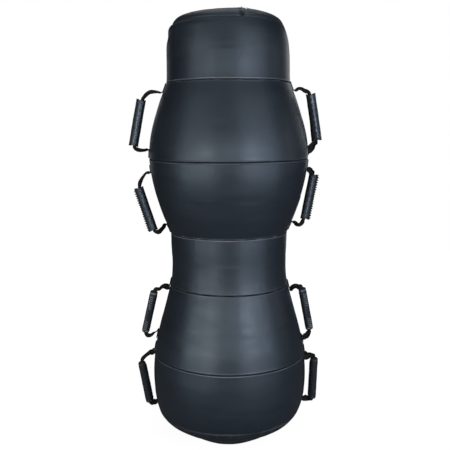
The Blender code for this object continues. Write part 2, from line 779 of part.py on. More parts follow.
def grip_core_mesh(handle):
    low_end, high_end = grip_ends(handle)
    up = (high_end - low_end).normalized()
    radius = GRIP_RADIUS - GRIP_LEATHER - SEAT_GAP
    ends = (CORE_INSET, GRIP_LENGTH - CORE_INSET)
    outer = [along_grip(grip_section(radius)[:GRIP_SIDES], low_end, up, at) for at in ends]
    inner = [along_grip(grip_section(radius - CORE_WALL)[:GRIP_SIDES], low_end, up, at) for at in ends]
    return tube("grip_core_" + handle.name, outer, inner)


def sewn_end_mesh(name, handle, outline, height, upwards):
    """Webbing sewn flat on the bag, from beside the strap's root away from the handle."""
    direction = 1 if upwards else -1
    near, far = height + direction * SEWN_END_CLEAR, height + direction * SEWN_END_LENGTH
    low, high = min(near, far), max(near, far)
    between = [point.y for point in outline if low + SEAT_GAP < point.y < high - SEAT_GAP]
    stations = [low] + between + [high]
    line = [Vector((surface_radius(outline, z), z)) for z in stations]
    reach = 2 * SEAT_GAP
    wide = [line[0] - (line[1] - line[0]).normalized() * reach] + line
    wide += [line[-1] + (line[-1] - line[-2]).normalized() * reach]
    under = offset_line(wide, SEAT_GAP)[1:-1]
    over = offset_line(wide, SEAT_GAP + WEBBING_THICKNESS)[1:-1]
    rings = []
    for inner, outer in zip(under, over):
        ring = []
        for point, turns in ((inner, (-1, 0, 1)), (outer, (1, 0, -1))):
            for turn in turns:
                y = turn * WEBBING_WIDTH / 2
                x = math.sqrt(point.x ** 2 - y ** 2)
                ring.append(Vector((handle.side * x, y, point.y)))
        rings.append(ring)
    return loft(name, rings)


def build_handle(handle, outline):
    frame, span = handle_frame(handle, outline)
    pivot = add_pivot("swing_axis_" + handle.name, frame)
    moving = ((strap_loop_mesh(handle, outline, frame, span), "webbing"),
              (grip_sleeve_mesh(handle), "grip_leather"),
              (grip_core_mesh(handle), "grip_core"))
    for mesh, finish in moving:
        add_object(mesh.name, mesh, finish).parent = pivot
    low, high = sewn_points(handle, outline)
    for name, height, upwards in (("strap_end_top_", high.z, True), ("strap_end_bottom_", low.z, False)):
        mesh = sewn_end_mesh(name + handle.name, handle, outline, height, upwards)
        add_object(mesh.name, mesh, "webbing")


def main():
    global bag, cutters
    clear_scene()
    bag = new_collection("throwing_bag")
    cutters = new_collection("cutters")
    lines = panel_outlines()
    build_panels(lines)
    build_inside(lines)
    cut("crown_panel", slot_cutter("zip_slot", ZIP_SLOT_LENGTH, ZIP_SLOT_WIDTH))
    mouth_margin = 2 * (ZIP_TAPE_OVERLAP + LINING)
    cut("lining_sack", slot_cutter("lining_mouth", ZIP_SLOT_LENGTH + mouth_margin,
                                   ZIP_SLOT_WIDTH + mouth_margin))
    build_zip_chain()
    build_slider()
    outline = bag_outline(lines)
    for handle in HANDLES:
        build_handle(handle, outline)


main()
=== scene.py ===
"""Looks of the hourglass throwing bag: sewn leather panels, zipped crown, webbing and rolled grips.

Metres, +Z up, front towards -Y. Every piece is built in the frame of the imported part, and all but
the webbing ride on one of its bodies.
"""
import math
from collections import namedtuple

import bmesh
import bpy
from mathutils import Matrix, Vector, noise


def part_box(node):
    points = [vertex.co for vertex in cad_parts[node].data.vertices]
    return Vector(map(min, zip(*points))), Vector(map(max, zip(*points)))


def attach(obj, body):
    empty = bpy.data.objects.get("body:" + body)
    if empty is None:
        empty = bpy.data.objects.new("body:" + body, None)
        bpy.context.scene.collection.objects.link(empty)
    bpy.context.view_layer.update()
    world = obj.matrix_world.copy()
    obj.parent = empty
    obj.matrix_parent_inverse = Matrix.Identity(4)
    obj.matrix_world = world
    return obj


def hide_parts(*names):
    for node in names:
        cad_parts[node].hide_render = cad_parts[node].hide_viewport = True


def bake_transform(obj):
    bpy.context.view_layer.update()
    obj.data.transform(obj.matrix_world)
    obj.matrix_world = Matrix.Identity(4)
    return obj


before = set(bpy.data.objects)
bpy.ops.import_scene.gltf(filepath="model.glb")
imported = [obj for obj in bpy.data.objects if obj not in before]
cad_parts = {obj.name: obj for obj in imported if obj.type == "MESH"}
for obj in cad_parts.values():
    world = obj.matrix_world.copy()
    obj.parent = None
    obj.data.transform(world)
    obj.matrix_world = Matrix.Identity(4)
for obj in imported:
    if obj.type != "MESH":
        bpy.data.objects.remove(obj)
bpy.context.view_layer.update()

# Panels from the floor up: height, radii and leans of the leather
Panel = namedtuple("Panel", "name height bottom_radius top_radius bottom_lean top_lean")
PANELS = [
    Panel("base_panel", 0.047, 0.098, 0.163, 56, 52),
    Panel("lower_hip_panel", 0.203, 0.163, 0.217, 63, -4),
    Panel("upper_hip_panel", 0.200, 0.217, 0.167, -10, -13),
    Panel("waist_panel", 0.148, 0.167, 0.164, -12, 1),
    Panel("chest_panel", 0.204, 0.164, 0.220, 24, 5),
    Panel("shoulder_panel", 0.206, 0.220, 0.169, -1, -22),
    Panel("head_panel", 0.152, 0.169, 0.150, -6, -23),
]
# Seams on top of those panels: how far each is pulled up at the front and at the sides, how deep it
# sinks, how strong the painted highlight on its folded edges is below and above it, and how much it puckers
Seam = namedtuple("Seam", "front_lift side_lift depth worn_below worn_above pucker")
SEAMS = [
    Seam(0.0000, 0.0000, 0.9, 0.40, 0.30, 1.00),
    Seam(0.0055, 0.0005, 0.7, 1.00, 0.05, 0.35),
    Seam(0.0035, 0.0010, 1.0, 0.35, 0.20, 0.45),
    Seam(0.0048, 0.0020, 0.9, 1.00, 0.05, 0.35),
    Seam(0.0027, 0.0035, 1.1, 0.50, 0.08, 0.35),
    Seam(0.0000, 0.0000, 0.9, 0.10, 1.00, 0.35),
    Seam(0.0000, 0.0000, 0.18, 0.03, 0.05, 0.50),
]
CURVE_PULL = 0.36
CROWN_SEAM_RADIUS = 0.150
CROWN_DOME_RADIUS = 0.119
CROWN_BEND = 0.42
CROWN_FULLNESS = 0.0024
CROWN_SUNK = 0.0006
CROWN_SWELL = 0.0012
TOP = 1.200
CROWN_CENTRE_HEIGHT = TOP - CROWN_BEND
CROWN_SEAM_DROP = 0.040
CROWN_SEAM_LEAN = -23
CROWN_ROW_STEP = 0.0022
CROWN_STEPS = 34
# How far the crown's seam is drawn in on the bag's right, and how far from the seam that reaches
DRAWN_IN = 0.0016
DRAWN_REACH = 0.016
# The crown's inner corner: how far inside its seam, and how far above it
CROWN_INSIDE = (0.0180, 0.012)

# Leather
SEGMENTS = 360
AROUND = [2 * math.pi * i / SEGMENTS for i in range(SEGMENTS)]
ROW_STEP = 0.005
WALL = 0.0024
SEAM_ROUND = 0.0025
SEAM_DEPTH = 0.0046
# Width of the painted shade in a seam's groove
GROOVE_SHADE_WIDTH = 0.0034
SEAM_TUCK = 0.0060
SEAM_GAP = 0.00015
SEAM_ROWS = (0.0, 0.0004, 0.0009, 0.0014, 0.0020, 0.0026, 0.0032,
             0.0037, 0.0043, 0.0054, 0.0075, 0.0103, 0.0135)
# Painted highlight along a seam's folded edge: its distance from the seam, its width and its reach
HIGHLIGHT_AT = 0.0035
HIGHLIGHT_WIDTH = 0.0010
HIGHLIGHT_REACH = 0.01
WELT_AT = 0.0026
WELT_WIDTH = 0.0018
WELT_HEIGHT = 0.0004
LUMP_HEIGHT = 0.0016
LUMP_SIZE = 0.11
LUMP_REACH = 0.05
PUCKER_PITCH = 0.011
PUCKER_REACH = 0.013
PUCKER_HEIGHT = 0.0006
CREASE_PITCH = 0.024
CREASE_REACH = 0.045
CREASE_HEIGHT = 0.0008
SEAM_SWAY = 0.0009
INNER_INSET = 0.012
BACK_SEAM = math.pi / 2
# About the bag's radius, where no closer figure is needed
BAG_RADIUS = 0.2
# The soft fold above the base seam: its level, the part of its panel that has finer rows and their
# step, how far it wanders, then the height, the distance below its level and the width of its lip,
# crease and puckers, in relief and in painted highlight
SAG_LEVEL = 0.087
SAG_ALONG = (0.036, 0.064)
SAG_STEP = 0.0010
SAG_WANDER = 0.0032
SAG_WAVE = 0.0016
Ridge = namedtuple("Ridge", "height below width")
SAG_LIP = Ridge(0.0011, 0.0045, 0.0032)
SAG_CREASE = Ridge(-0.0013, 0.0, 0.0015)
SAG_PUCKER = Ridge(0.0007, 0.004, 0.010)
SAG_HIGHLIGHT_LIP = Ridge(0.24, 0.0030, 0.0014)
SAG_HIGHLIGHT_PUCKER = Ridge(0.35, 0.010, 0.006)

# Zip, in its own frame, where +X runs to its closed end at the front
ZIP_TURN = math.radians(22)
ZIP_FRAME = Matrix.Rotation(ZIP_TURN - math.pi / 2, 4, "Z")
ZIP_HALF_LENGTH = 0.107
ZIP_HALF_WIDTH = 0.007
CHAIN_HALF = 0.100
TOOTH_COUNT = 56
LAST_TOOTH = 0.0800
CHAIN_DEPTH = 0.00295
TOOTH_BEVEL = 0.00018
METAL_BEVEL = 0.00022
TAPE_HALF = 0.1088
TAPE_STEPS = 90
# Section of a tape: distance from the zip's middle, and depth under the dome
TAPE_SECTION = (
    (0.0145, 0.00275), (0.0140, 0.0026), (0.0075, 0.0026), (0.0060, 0.00255), (0.0053, 0.00225),
    (0.0047, 0.00225), (0.00445, 0.0028), (0.0047, 0.0034), (0.0060, 0.0033), (0.0140, 0.0033),
)
# Rolled edge of the slot: how far inwards, how far down, and how dark it is painted as shade going into the
# slot
SLOT_EDGE = ((0.0004, 0.0004, 0.2), (0.0007, 0.0010, 0.6), (0.0005, 0.0016, 1.0), (-0.0004, 0.0018, 1.0))
SLOT_STITCH_OFFSET = 0.0058
# The leather beside the slot: a ridge over the tape's edge, waves outside it, and the place at the
# front from which it is level
SLOT_RIDGE_HEIGHT = 0.0011
SLOT_RIDGE_WIDTH = 0.0035
SLOT_WAVE_HEIGHT = 0.0012
SLOT_WAVE_REACH = 0.016
FRONT_LEVEL_FROM = 0.082

# Webbing and grips
WEBBING_WIDTH = 0.025
WEBBING_THICKNESS = 0.0022
SEWN_END_CLEAR = 0.0046
CORE_INSET = 0.005
GRIP_RADIUS = 0.0113
GRIP_WALL = 0.0018
STITCH_PITCH = 0.0046
WHIP_PITCH = 0.0058
WHIP_HALF = 0.0034
WHIP_RADIUS = 0.0008
LACE_PITCH = 0.0068
LACE_RADIUS = 0.0010
# Along a stitch from its middle, in shares of its length, and up, in shares of the thread's radius
STITCH_SHAPE = ((-0.5, -0.8), (-0.32, 0.6), (0, 1.0), (0.32, 0.6), (0.5, -0.8))
WEBBING_STEP = 0.0014
WEBBING_SAMPLES = 16
WEBBING_LIFT = 0.0003
# How far the folded webbing is bent round inside the grip, and its depth there
FOLD_TURN = 4.19
FOLDED_DEPTH = 0.0105
AXIS_OFFSET = 0.0025
SEWN_LENGTH = 0.0236
SEWN_NEAR = 0.0045
SEWN_MARGIN = 0.0022
GRIP_LENGTH = 0.127
SCALLOP_PITCH = 0.0155
FLANGE_HALF = 0.0019
FLANGE_REACH = 0.0040
OPEN_END_LIFT = 0.0014
OPEN_END_REACH = 0.012
RIPPLE_HEIGHT = 0.00042
FINE_HEIGHT = 0.00016
PLEATS = 13
PLEAT_HEIGHT = 0.00045
STREAK_WIDTH = 0.11
STREAK_HEIGHT = 0.0005
# A gathered grip: how far its ends close in, its grooves (from the end, depth, width), and its rings
GATHER_DEPTH = 0.0036
GATHER_GROOVES = ((0.0066, 0.0011, 0.0011), (0.0098, 0.0004, 0.0012))
GATHER_RINGS = (0.0080, 0.0122, 0.0166)
RING_WIDTH = 0.0009
RING_HEIGHT = 0.00035
WINDING_OFFSETS = (0.0056, 0.0066, 0.0076)
WINDING_RADIUS = 0.00052
WINDING_SUNK = 0.0007
THREAD_RADIUS = 0.00045
# Stretch of a seam turned to the front, in shares of its grip, where no stitch shows
BARE_STRETCH = (0.30, 0.58)
CORE_BEVEL = 0.0003

# Camera, as worked out from the photograph
LENS = 48
SENSOR_WIDTH = 36
CAMERA_PITCH = math.radians(9.2)
CAMERA_ROLL = math.radians(0.30)
CAMERA_PLACE = (-0.0095, -1.685, 0.889)


# Node helpers
def new_material(name):
    made = bpy.data.materials.new(name)
    made.use_nodes = True
    tree = made.node_tree
    return made, tree, tree.nodes["Principled BSDF"]


def fill(tree, node, inputs):
    """Sets inputs of a node by name or number; where the value is a socket, it is linked."""
    for name, value in inputs.items():
        if isinstance(value, bpy.types.NodeSocket):
            tree.links.new(value, node.inputs[name])
        else:
            node.inputs[name].default_value = value


def add_node(tree, kind, inputs=None, **settings):
    node = tree.nodes.new(kind)
    for key, value in settings.items():
        setattr(node, key, value)
    fill(tree, node, inputs or {})
    return node


def object_coords(tree, scale=(1, 1, 1)):
    coords = add_node(tree, "ShaderNodeTexCoord")
    inputs = {"Vector": coords.outputs["Object"], "Scale": scale}
    return add_node(tree, "ShaderNodeMapping", inputs).outputs["Vector"]


def noise_node(tree, vector, scale, detail=3.0, rough=0.5):
    inputs = {"Vector": vector, "Scale": scale, "Detail": detail, "Roughness": rough}
    return add_node(tree, "ShaderNodeTexNoise", inputs).outputs["Fac"]


def wave_node(tree, vector, scale, direction, distortion=0.0, detail=2.0):
    """Bands that run across a direction, for ribs and threads."""
    inputs = {"Vector": vector, "Scale": scale, "Distortion": distortion, "Detail": detail}
    return add_node(tree, "ShaderNodeTexWave", inputs, wave_type="BANDS",
                    bands_direction=direction).outputs["Fac"]


def ramp(tree, factor, stops):
    """A colour that runs between two stops, each a factor and a colour."""
    node = add_node(tree, "ShaderNodeValToRGB", {"Fac": factor})
    for element, (at, colour) in zip(node.color_ramp.elements, stops):
        element.position = at
        element.color = (*colour, 1)
    return node.outputs["Color"]


def map_range(tree, value, low, high, to_low, to_high):
    inputs = {"Value": value, "From Min": low, "From Max": high, "To Min": to_low, "To Max": to_high}
    return add_node(tree, "ShaderNodeMapRange", inputs).outputs["Result"]


def mix_colour(tree, factor, a, b):
    """Mixes two colours, each a socket or a red, green and blue."""
    inputs = {0: factor}
    for number, colour in ((6, a), (7, b)):
        inputs[number] = (*colour, 1) if isinstance(colour, tuple) else colour
    return add_node(tree, "ShaderNodeMix", inputs, data_type="RGBA").outputs[2]


def bump(tree, shader, height, strength, distance, after=None):
    """Gives a shader fine relief, on top of the relief that comes before it."""
    node = add_node(tree, "ShaderNodeBump", {"Height": height, "Strength": strength, "Distance": distance})
    if after:
        fill(tree, node, {"Normal": after})
    fill(tree, shader, {"Normal": node.outputs["Normal"]})
    return node.outputs["Normal"]


def shaded(colour, factor):
    return tuple(channel * factor for channel in colour)


# Materials
# Painted highlight: a pale colour on folded leather edges, which are also glossier there. Near black:
# painted shade along the grips' sides, also used for a grip's darker tone and mottle
PAINTED_HIGHLIGHT_COLOUR = (0.140, 0.157, 0.182)
HIGHLIGHT_EDGE_ROUGH = 0.17
GROOVE_ROUGH = 0.95
SHADE_AND_DARK_TONE_COLOUR = (0.0030, 0.0032, 0.0038)
SHADE_AND_DARK_TONE_ROUGH = 0.85
LEATHER_SHEEN = (0.72, 0.865, 1.0)
GLOSS_SPREAD = 0.055


def leather(name, colour, rough, grain_size=0.0011, grain=0.10, creases=0.15):
    """Coated leather: fine pebble grain, faint creases, uneven gloss, lighter rubbed high spots."""
    made, tree, shader = new_material(name)
    where = object_coords(tree)
    patches = noise_node(tree, where, 7, 4)
    tone = ramp(tree, patches, [(0.30, shaded(colour, 0.86)), (0.70, shaded(colour, 1.16))])
    scuffs = noise_node(tree, object_coords(tree, (0.30, 0.30, 1.8)), 60, 6, 0.65)
    rubbed = map_range(tree, scuffs, 0.60, 0.80, 0, 0.35)
    tone = mix_colour(tree, rubbed, tone, shaded(colour, 1.9))
    streaks = noise_node(tree, object_coords(tree, (0.35, 0.35, 1.7)), 24, 5, 0.6)
    gloss = map_range(tree, streaks, 0.3, 0.7, rough - GLOSS_SPREAD, rough + GLOSS_SPREAD)
    # Painted highlight on folded edges; painted shade (a near-black copy of the colour) in seam grooves, the
    # crown's slit and dimple and on hidden inner faces; painted shade along the grips' sides, with their
    # darker tone and mottle
    states = (("worn", PAINTED_HIGHLIGHT_COLOUR, HIGHLIGHT_EDGE_ROUGH), ("painted_groove_shade", shaded(colour, 0.12), GROOVE_ROUGH),
              ("bound", SHADE_AND_DARK_TONE_COLOUR, SHADE_AND_DARK_TONE_ROUGH))
    for attribute, its_colour, its_rough in states:
        share = add_node(tree, "ShaderNodeAttribute", attribute_name=attribute).outputs["Fac"]
        tone = mix_colour(tree, share, tone, its_colour)
        gloss = add_node(tree, "ShaderNodeMix", {0: share, 2: gloss, 3: its_rough}).outputs[0]
    fill(tree, shader, {"Base Color": tone, "Roughness": gloss, "Specular IOR Level": 0.5,
                        "Specular Tint": (*LEATHER_SHEEN, 1)})
    pebble = add_node(tree, "ShaderNodeTexVoronoi",
                      {"Vector": where, "Scale": 1 / grain_size, "Smoothness": 0.6}, feature="SMOOTH_F1")
    fine = bump(tree, shader, pebble.outputs["Distance"], grain, 0.0004)
    wrinkles = noise_node(tree, object_coords(tree, (1, 1, 0.45)), 70, 5, 0.55)
    bump(tree, shader, wrinkles, creases, 0.0016, fine)
    return made


def webbing_material():
    """Black ribbed webbing: ribs across it and threads on a slant, both from its UVs, and fluff."""
    made, tree, shader = new_material("black_webbing")
    weave_at = add_node(tree, "ShaderNodeTexCoord").outputs["UV"]
    ribs = wave_node(tree, weave_at, 210, "X", 0.6)
    threads = wave_node(tree, weave_at, 330, "DIAGONAL")
    tone = ramp(tree, ribs, [(0.1, (0.0025, 0.0025, 0.003)), (0.9, (0.008, 0.008, 0.009))])
    weave = ramp(tree, threads, [(0.2, (0.002, 0.002, 0.0025)), (0.8, (0.010, 0.010, 0.011))])
    tone = mix_colour(tree, 0.35, tone, weave)
    fluff = noise_node(tree, object_coords(tree), 900, 2)
    tone = mix_colour(tree, map_range(tree, fluff, 0.6, 0.8, 0, 0.4), tone, (0.018, 0.018, 0.020))
    fill(tree, shader, {"Base Color": tone, "Roughness": 0.75, "Specular IOR Level": 0.22})
    first = bump(tree, shader, ribs, 0.7, 0.0005)
    bump(tree, shader, threads, 0.35, 0.0003, first)
    return made


def thread_material(name, dark, light):
    """Twisted thread or cord."""
    made, tree, shader = new_material(name)
    twist = wave_node(tree, object_coords(tree), 900, "DIAGONAL")
    fill(tree, shader, {"Base Color": ramp(tree, twist, [(0.2, dark), (0.8, light)]), "Roughness": 0.5})
    bump(tree, shader, twist, 0.5, 0.0002)
    return made


def cloth_material(name, dark, light, scale, rough=0.9):
    """Woven cloth, from two sets of threads."""
    made, tree, shader = new_material(name)
    where = object_coords(tree)
    threads = {number: wave_node(tree, where, scale, way) for number, way in enumerate("XZ")}
    weave = add_node(tree, "ShaderNodeMath", threads, operation="MAXIMUM").outputs["Value"]
    fill(tree, shader, {"Base Color": ramp(tree, weave, [(0.2, dark), (0.9, light)]), "Roughness": rough})
    bump(tree, shader, weave, 0.4, 0.0003)
    return made


def metal_material():
    made, tree, shader = new_material("satin_nickel")
    brushed = noise_node(tree, object_coords(tree, (1, 1, 4)), 900, 3)
    tone = ramp(tree, brushed, [(0.3, (0.30, 0.31, 0.33)), (0.7, (0.46, 0.47, 0.49))])
    gloss = map_range(tree, brushed, 0.3, 0.7, 0.22, 0.38)
    fill(tree, shader, {"Base Color": tone, "Metallic": 1.0, "Roughness": gloss})
    bump(tree, shader, brushed, 0.08, 0.0002)
    return made


def plastic_material(name, colour, rough):
    made, tree, shader = new_material(name)
    mottle = noise_node(tree, object_coords(tree), 300, 3)
    tone = ramp(tree, mottle, [(0.3, shaded(colour, 0.8)), (0.7, shaded(colour, 1.25))])
    gloss = map_range(tree, mottle, 0.3, 0.7, rough - 0.06, rough + 0.06)
    fill(tree, shader, {"Base Color": tone, "Roughness": gloss})
    bump(tree, shader, mottle, 0.1, 0.0002)
    return made


LEATHER_COLOUR = (0.0095, 0.0128, 0.0180)
BAG_LEATHER = leather("bag_leather_black", LEATHER_COLOUR, 0.40)
ROLLED_LEATHER = leather("rolled_leather_blue_black", (0.024, 0.032, 0.046), 0.32, 0.0009, 0.12, 0.8)
GATHERED_LEATHER = leather("gathered_leather_navy", (0.006, 0.008, 0.015), 0.36, 0.0009, 0.12, 0.8)
WEBBING = webbing_material()
THREAD = thread_material("sewing_thread", (0.016, 0.017, 0.020), (0.062, 0.067, 0.076))
PALE_THREAD = thread_material("pale_sewing_thread", (0.10, 0.11, 0.13), (0.26, 0.28, 0.31))
LACE = thread_material("lacing_cord", (0.003, 0.003, 0.004), (0.010, 0.010, 0.012))
TAPE = cloth_material("zip_tape_twill", (0.006, 0.006, 0.007), (0.028, 0.028, 0.031), 700)
LINING = cloth_material("lining_cloth", (0.05, 0.05, 0.055), (0.12, 0.12, 0.125), 400)
FILLING = cloth_material("shredded_textile", (0.20, 0.18, 0.15), (0.42, 0.38, 0.33), 90, 0.95)
METAL = metal_material()
TEETH = plastic_material("moulded_teeth", (0.016, 0.016, 0.017), 0.42)
CORE = plastic_material("grip_core_plastic", (0.045, 0.045, 0.047), 0.6)


# Mesh helpers
def place_mesh(mesh, material, body=None):
    """Gives a mesh its material and puts it in the scene under its own name."""
    mesh.materials.append(material)
    obj = bpy.data.objects.new(mesh.name, mesh)
    bpy.context.scene.collection.objects.link(obj)
    if body:
        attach(obj, body)
    return obj


def add_piece(name, verts, faces, material, body="bag"):
    """A smooth piece of one material that rides on a body, or on none."""
    mesh = bpy.data.meshes.new(name)
    mesh.from_pydata(verts, [], faces)
    mesh.validate()
    mesh.shade_smooth()
    return place_mesh(mesh, material, body)


def ring_faces(rows, count, closed_rows=False, start=0):
    """Quads between rows of points from a start, each row a closed ring of count points."""
    faces = []
    for a in range(rows if closed_rows else rows - 1):
        low, high = start + a * count, start + (a + 1) % rows * count
        for i in range(count):
            j = (i + 1) % count
            faces.append((low + i, low + j, high + j, high + i))
    return faces


def flipped(faces, flip=True):
    """The same faces the other way round, where they are to be flipped."""
    return [face[::-1] for face in faces] if flip else faces


def turned(angle, bearing):
    """Angle from a bearing, between half a turn back and half a turn on."""
    return math.atan2(math.sin(angle - bearing), math.cos(angle - bearing))


def run_lengths(points):
    """Length travelled along a line at each of its points."""
    lengths = [0.0]
    for a, b in zip(points, points[1:]):
        lengths.append(lengths[-1] + (b - a).length)
    return lengths


def resample(points, step):
    """The same line with points evenly spaced, about a step apart."""
    lengths = run_lengths(points)
    count = max(2, round(lengths[-1] / step))
    line = []
    at = 0
    for i in range(count + 1):
        target = lengths[-1] * i / count
        while at < len(points) - 2 and lengths[at + 1] < target:
            at += 1
        span = lengths[at + 1] - lengths[at] or 1
        line.append(points[at].lerp(points[at + 1], (target - lengths[at]) / span))
    return line


def bell(distance, width):
    """1 at no distance, and less to either side over a width."""
    return math.exp(-(distance / width) ** 2)


def fade(distance, reach):
    """1 at no distance, and less beyond it over a reach."""
    return math.exp(-max(distance, 0) / reach)


def ease(value):
    """Runs smoothly from 0 to 1 while a value runs from 0 to 1."""
    value = min(1, max(0, value))
    return value * value * (3 - 2 * value)


# Outline of the leather
def curve_points(start, start_lean, end, end_lean, steps):
    """A curve between two points that leaves and arrives at a lean in degrees, 0 being upright."""
    span = (end - start).length * CURVE_PULL
    lean_a, lean_b = math.radians(start_lean), math.radians(end_lean)
    control_a = start + span * Vector((math.sin(lean_a), math.cos(lean_a)))
    control_b = end - span * Vector((math.sin(lean_b), math.cos(lean_b)))
    line = []
    for step in range(steps + 1):
        t = step / steps
        line.append((1 - t) ** 3 * start + 3 * (1 - t) ** 2 * t * control_a
                    + 3 * (1 - t) * t ** 2 * control_b + t ** 3 * end)
    return line


def dome_height(radius):
    """Height of the crown's plain dome at a radius."""
    return CROWN_CENTRE_HEIGHT + math.sqrt(CROWN_BEND ** 2 - radius ** 2)


class Line:
    """A (radius, height) line that gives its point and outward normal at any length along it."""

    def __init__(self, points):
        self.points = points
        self.lengths = run_lengths(points)
        self.length = self.lengths[-1]

    def at(self, along):
        along = min(self.length, max(0, along))
        i = 0
        while i < len(self.points) - 2 and self.lengths[i + 1] < along:
            i += 1
        a, b = self.points[i], self.points[i + 1]
        run = (b - a).normalized()
        point = a.lerp(b, (along - self.lengths[i]) / (self.lengths[i + 1] - self.lengths[i]))
        return point, Vector((run.y, -run.x))


def panel_line(panel, bottom):
    start = Vector((panel.bottom_radius, bottom))
    end = Vector((panel.top_radius, bottom + panel.height))
    return curve_points(start, panel.bottom_lean, end, panel.top_lean, 120)


def stations(length, with_bottom=True):
    """Distances along a panel, close together near its seams."""
    close = SEAM_ROWS[-1]
    count = max(2, round((length - 2 * close) / ROW_STEP))
    rows = [close + (length - 2 * close) * i / count for i in range(count + 1)]
    below = list(SEAM_ROWS[:-1]) if with_bottom else [0.0, close / 2]
    return below + rows + [length - at for at in reversed(SEAM_ROWS[:-1])]


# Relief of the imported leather
def seam_edge(distance, depth=1.0):
    """How far the leather stands out beside a seam: its rolled edge, less the rounding into it."""
    if distance >= SEAM_ROUND:
        into = 0.0
    else:
        share = min(1.0, 1 - distance / SEAM_ROUND)
        into = SEAM_DEPTH * (1 - math.sqrt(1 - share ** 2))
    return depth * (WELT_HEIGHT * bell(distance - WELT_AT, WELT_WIDTH) - into)


def relief(place, seed, distance, pucker):
    """How far the leather stands out at a place, at a distance from its nearer seam."""
    x, y, z = place
    lump = 0.5 + 0.5 * noise.noise(Vector((x, y, z)) / LUMP_SIZE + Vector((seed, 2.1, 0)))
    height = LUMP_HEIGHT * lump * ease(distance / LUMP_REACH)
    unit = Vector((x, y, 0)).normalized() * BAG_RADIUS
    tight = noise.noise(Vector((unit.x, unit.y, 0)) / PUCKER_PITCH + Vector((0, 0, seed * 3.7)))
    strength = 0.6 + 0.9 * noise.noise(Vector((unit.x, unit.y, 0)) * 9 + Vector((0, 0, seed)))
    height += (PUCKER_HEIGHT * pucker * strength * tight
               * fade(distance, PUCKER_REACH) * ease(distance / 0.002))
    crease = noise.noise(Vector((unit.x / CREASE_PITCH, unit.y / CREASE_PITCH, z * 7 + seed)))
    height += CREASE_HEIGHT * pucker * crease * fade(distance, CREASE_REACH) * ease(distance / 0.004)
    return height


def seam_sway(angle, number):
    """How far seam line number n stands above its level: its pull at the front, and its wander."""
    spot = Vector((math.cos(angle), math.sin(angle), number * 1.3))
    seam = SEAMS[number - 1]
    front = max(0.0, -math.sin(angle)) ** 0.7
    lift = seam.side_lift + (seam.front_lift - seam.side_lift) * front
    return SEAM_SWAY * noise.noise(spot * 2.2) + lift * (1 - max(0.0, math.sin(angle)))


def painted_edge_highlight(number, distance, angle, above):
    """Painted highlight on the folded edge at a distance from a seam: it comes and goes round it."""
    seam = SEAMS[number - 1]
    strength = seam.worn_above if above else seam.worn_below
    if not strength or distance > HIGHLIGHT_REACH:
        return 0.0
    spot = Vector((math.cos(angle), math.sin(angle), number * 2.9))
    patchy = 0.72 + 0.5 * noise.noise(spot * 4.0) + 0.35 * noise.noise(spot * 26.0)
    # Painted highlight, stronger towards the front
    toward_front = 0.35 + 0.65 * max(0.0, -math.sin(angle)) ** 1.5
    return strength * toward_front * patchy * bell(distance - HIGHLIGHT_AT, HIGHLIGHT_WIDTH)


def back_seam(angle, radius):
    """The upright seam behind that closes each strip of leather."""
    return seam_edge(abs(turned(angle, BACK_SEAM)) * radius)


def store(mesh, name, values):
    attribute = mesh.attributes.new(name, "FLOAT", "POINT")
    attribute.data.foreach_set("value", values)


def sag_fold(angle, height):
    """A soft fold round the bag above its base seam: its relief, and the painted highlight on its lower lip
    and puckers.
    """
    ring = Vector((math.cos(angle), math.sin(angle), 7.7))
    level = SAG_LEVEL + SAG_WANDER * noise.noise(ring * 2.1) + SAG_WAVE * noise.noise(ring * 11)
    strength = min(1.0, 0.75 + 0.6 * noise.noise(ring * 3.3 + Vector((0, 0, 5))))
    pucker = noise.noise(Vector((ring.x * 22, ring.y * 22, height * 60)))
    above = height - level

    def part(ridge):
        return ridge.height * bell(above + ridge.below, ridge.width)

    raised = part(SAG_LIP) + part(SAG_CREASE) + pucker * part(SAG_PUCKER)
    # Painted highlight on the lower lip and on the puckers that stand out
    worn = part(SAG_HIGHLIGHT_LIP) + max(0, pucker) * part(SAG_HIGHLIGHT_PUCKER)
    return strength * raised, strength * worn


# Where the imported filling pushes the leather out, or leaves it slack: height, bearing, how far, and
# how tall and wide the place is
Bulge = namedtuple("Bulge", "height bearing out tall wide")
BULGES = [
    Bulge(0.066, math.radians(205), 0.0068, 0.046, 1.15),
    Bulge(0.066, math.radians(-25), 0.0034, 0.046, 1.15),
    Bulge(1.147, math.radians(180), 0.0056, 0.013, 0.95),
    Bulge(1.106, math.radians(180), 0.0022, 0.022, 0.95),
    Bulge(0.930, math.radians(0), -0.0014, 0.050, 1.05),
    Bulge(0.930, math.radians(180), -0.0010, 0.050, 1.05),
]


def bulge_out(angle, height):
    """How far the filling pushes the leather out at a place, or leaves it slack."""
    out = 0.0
    for bulge in BULGES:
        turn = turned(angle, bulge.bearing)
        out += bulge.out * bell(height - bulge.height, bulge.tall) * bell(turn, bulge.wide)
    return out


def drawn_in(angle, distance):
    """How far the leather beside the crown's seam is drawn in on the bag's right."""
    side = math.cos(angle)
    return DRAWN_IN * max(0.0, side) ** 2 * fade(distance, DRAWN_REACH)


def leather_out(index, line, along, angle):
    """How far a panel's leather stands out from its plain outline, and how far it is from a seam."""
    point, _ = line.at(along)
    near_top = line.length - along < along or index == 0
    distance = line.length - along if near_top else along
    number = index + 1 if near_top else index
    seam = SEAMS[number - 1]
    place = (point.x * math.cos(angle), point.x * math.sin(angle), point.y)
    out = seam_edge(distance, seam.depth) + relief(place, number, distance, seam.pucker)
    if index == 1:
        out += sag_fold(angle, point.y)[0]
    out += bulge_out(angle, point.y) * (ease(distance / 0.006) if number == len(SEAMS) else 1.0)
    if number == len(SEAMS):
        out -= drawn_in(angle, distance)
    return out + back_seam(angle, point.x) * ease(distance / 0.01), distance


def panel_sway(index, share, angle):
    """How far a panel's leather is pulled up at a share of its length, by its two seams."""
    sway = seam_sway(angle, index + 1) * share
    if index:
        sway += seam_sway(angle, index) * (1 - share)
    return sway


